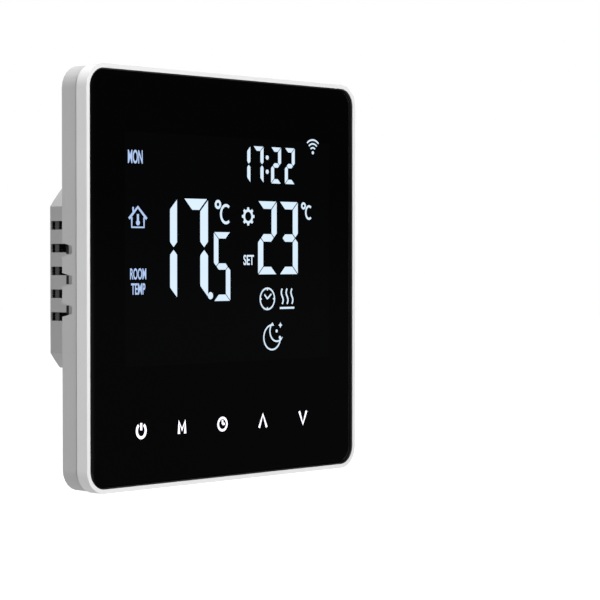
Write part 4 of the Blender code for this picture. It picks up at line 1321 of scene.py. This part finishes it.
# %% Cover, boards and square parts
for node, name, slot, width in (
    ("inner_cover", "cover_plate", "housing_grey", 0.2),
    ("plug_socket", "socket_strip", "black_plastic", 0.08),
    ("power_board", "mains_board", "board_green", 0.08),
    ("transformer_core", "ferrite_core", "ferrite", 0.25),
    ("transformer_winding", "bobbin_and_winding", "winding_tape", 0.2),
    ("film_capacitor", "film_capacitor_case", "capacitor_box", 0.35),
    ("relay", "relay_cover", "relay_case", 0.35),
    ("fuse", "fuse_case", "black_plastic", 0.3),
    ("rectifier", "rectifier_case", "black_plastic", 0.25),
):
    rounded_copy(node, name, slot, "rear_unit", width, 3)

# %% Cover screws with a cross recess
CROSS_REACH, CROSS_HALF, CROSS_DEPTH = 1.2, 0.22, 0.7


def cross(piece, x, z, reach, half, low_y, high_y):
    """Cuts two crossed slots into an end of a piece."""
    for long, short in ((reach, half), (half, reach)):
        cut(piece, block("slot", (x - long, low_y, z - short), (x + long, high_y, z + short)))


for number in range(1, 5):
    head_y = size_of(f"cover_screw_{number}")[0].y
    x, z = middle_of(f"cover_screw_{number}")
    screw = clean_copy(f"cover_screw_{number}", f"cross_screw_{number}")
    cross(screw, x, z, CROSS_REACH, CROSS_HALF, head_y - 1, head_y + CROSS_DEPTH)
    soften(screw, 0.1)
    dress(screw, "bright_steel", "rear_unit", f"cover_screw_{number}")

# %% Spun capacitors and varistor
VENT_SHARE, VENT_HALF, VENT_DEPTH = 0.6, 0.1, 0.25

for number in (1, 2):
    low, high = size_of(f"electrolytic_{number}")
    radius = (high.x - low.x) / 2 * 0.99
    x, z = middle_of(f"electrolytic_{number}")
    can = turned(f"capacitor_can_{number}", (x, z), [
        (0, low.y), (radius - 0.5, low.y), (radius, low.y + 0.5), (radius, low.y + 1.3),
        (radius - 0.25, low.y + 1.6), (radius, low.y + 1.9), (radius, high.y - 0.4),
        (radius - 0.4, high.y), (radius - 0.7, high.y), (radius - 0.8, high.y - 0.15), (0, high.y - 0.15),
    ], 40)
    cross(can, x, z, radius * VENT_SHARE, VENT_HALF, high.y - VENT_DEPTH, high.y + 1)
    soften(can, 0.08)
    dress(can, "capacitor_sleeve", "rear_unit", f"electrolytic_{number}")

low, high = size_of("varistor")
radius = (high.x - low.x) / 2
disc = turned("varistor_disc", middle_of("varistor"), [
    (0, low.y), (radius - 0.9, low.y + 0.12), (radius - 0.25, low.y + 0.5),
    (radius * 0.99, (low.y + high.y) / 2),
    (radius - 0.25, high.y - 0.5), (radius - 0.9, high.y - 0.12), (0, high.y),
], 40)
bpy.ops.object.shade_smooth()
dress(disc, "varistor_blue", "rear_unit", "varistor")

# %% [markdown]
# ## Terminals
#
# The terminal block is the only part of the inside that the installer touches. Its screws sit in round
# seats, raised walls keep the wires apart, and a number is moulded above each screw. The numbers are
# written for a reader behind the box, so they are turned round.

# %% Block, bars, cages and screws
TERMINAL_ROUND = 0.14
terminal_block = clean_copy("terminal_block", "terminal_body")
block_low, block_high = size_of("terminal_block")
TERMINALS = [middle_of(f"terminal_screw_{number}")[0] for number in range(1, 6)]
soften(terminal_block, TERMINAL_ROUND)
WALL_RAISE, WALL_HALF = 0.35, 0.45
raised = join("raised", *[
    block("wall", (x - WALL_HALF, block_high.y - 0.2, block_low.z + 0.2),
          (x + WALL_HALF, block_high.y + WALL_RAISE, block_high.z - 0.2))
    for x in [(a + b) / 2 for a, b in zip(TERMINALS, TERMINALS[1:])]
])
soften(raised, TERMINAL_ROUND)
terminal_block = join("terminal_body", terminal_block, raised)
dress(terminal_block, "terminal_green", "rear_unit", "terminal_block")

for number in range(1, 6):
    rounded_copy(f"contact_bar_{number}", f"tinned_bar_{number}", "tin", "rear_unit", 0.08)
    rounded_copy(f"clamp_cage_{number}", f"cage_frame_{number}", "bright_steel", f"cage_{number}", 0.15)
    rounded_copy(
        f"terminal_screw_{number}", f"slotted_screw_{number}", "bright_steel", f"screw_{number}", 0.12
    )

# %% Moulded numbers
NUMBER_SIZE, NUMBER_WEIGHT, NUMBER_RAISE, NUMBER_Z = 3.5, 0.1, 0.15, -12.2
numbers = []
for number, x in enumerate(TERMINALS, 1):
    made = lettering(str(number), NUMBER_RAISE, NUMBER_WEIGHT * MM, NUMBER_SIZE * MM, "CENTER")
    made.rotation_euler = (pi / 2, 0, pi)
    made.location = (x * MM, block_high.y * MM, NUMBER_Z * MM)
    numbers.append(settle())
dress(join("terminal_numbers", *numbers), "white_film", "rear_unit")

# %% [markdown]
# The size lines come last. They let a reader compare the finished model with the CAD box.

# %% Sizes and finish
low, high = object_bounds()
print("visual box in mm:", [round(side / MM, 2) for side in high - low])
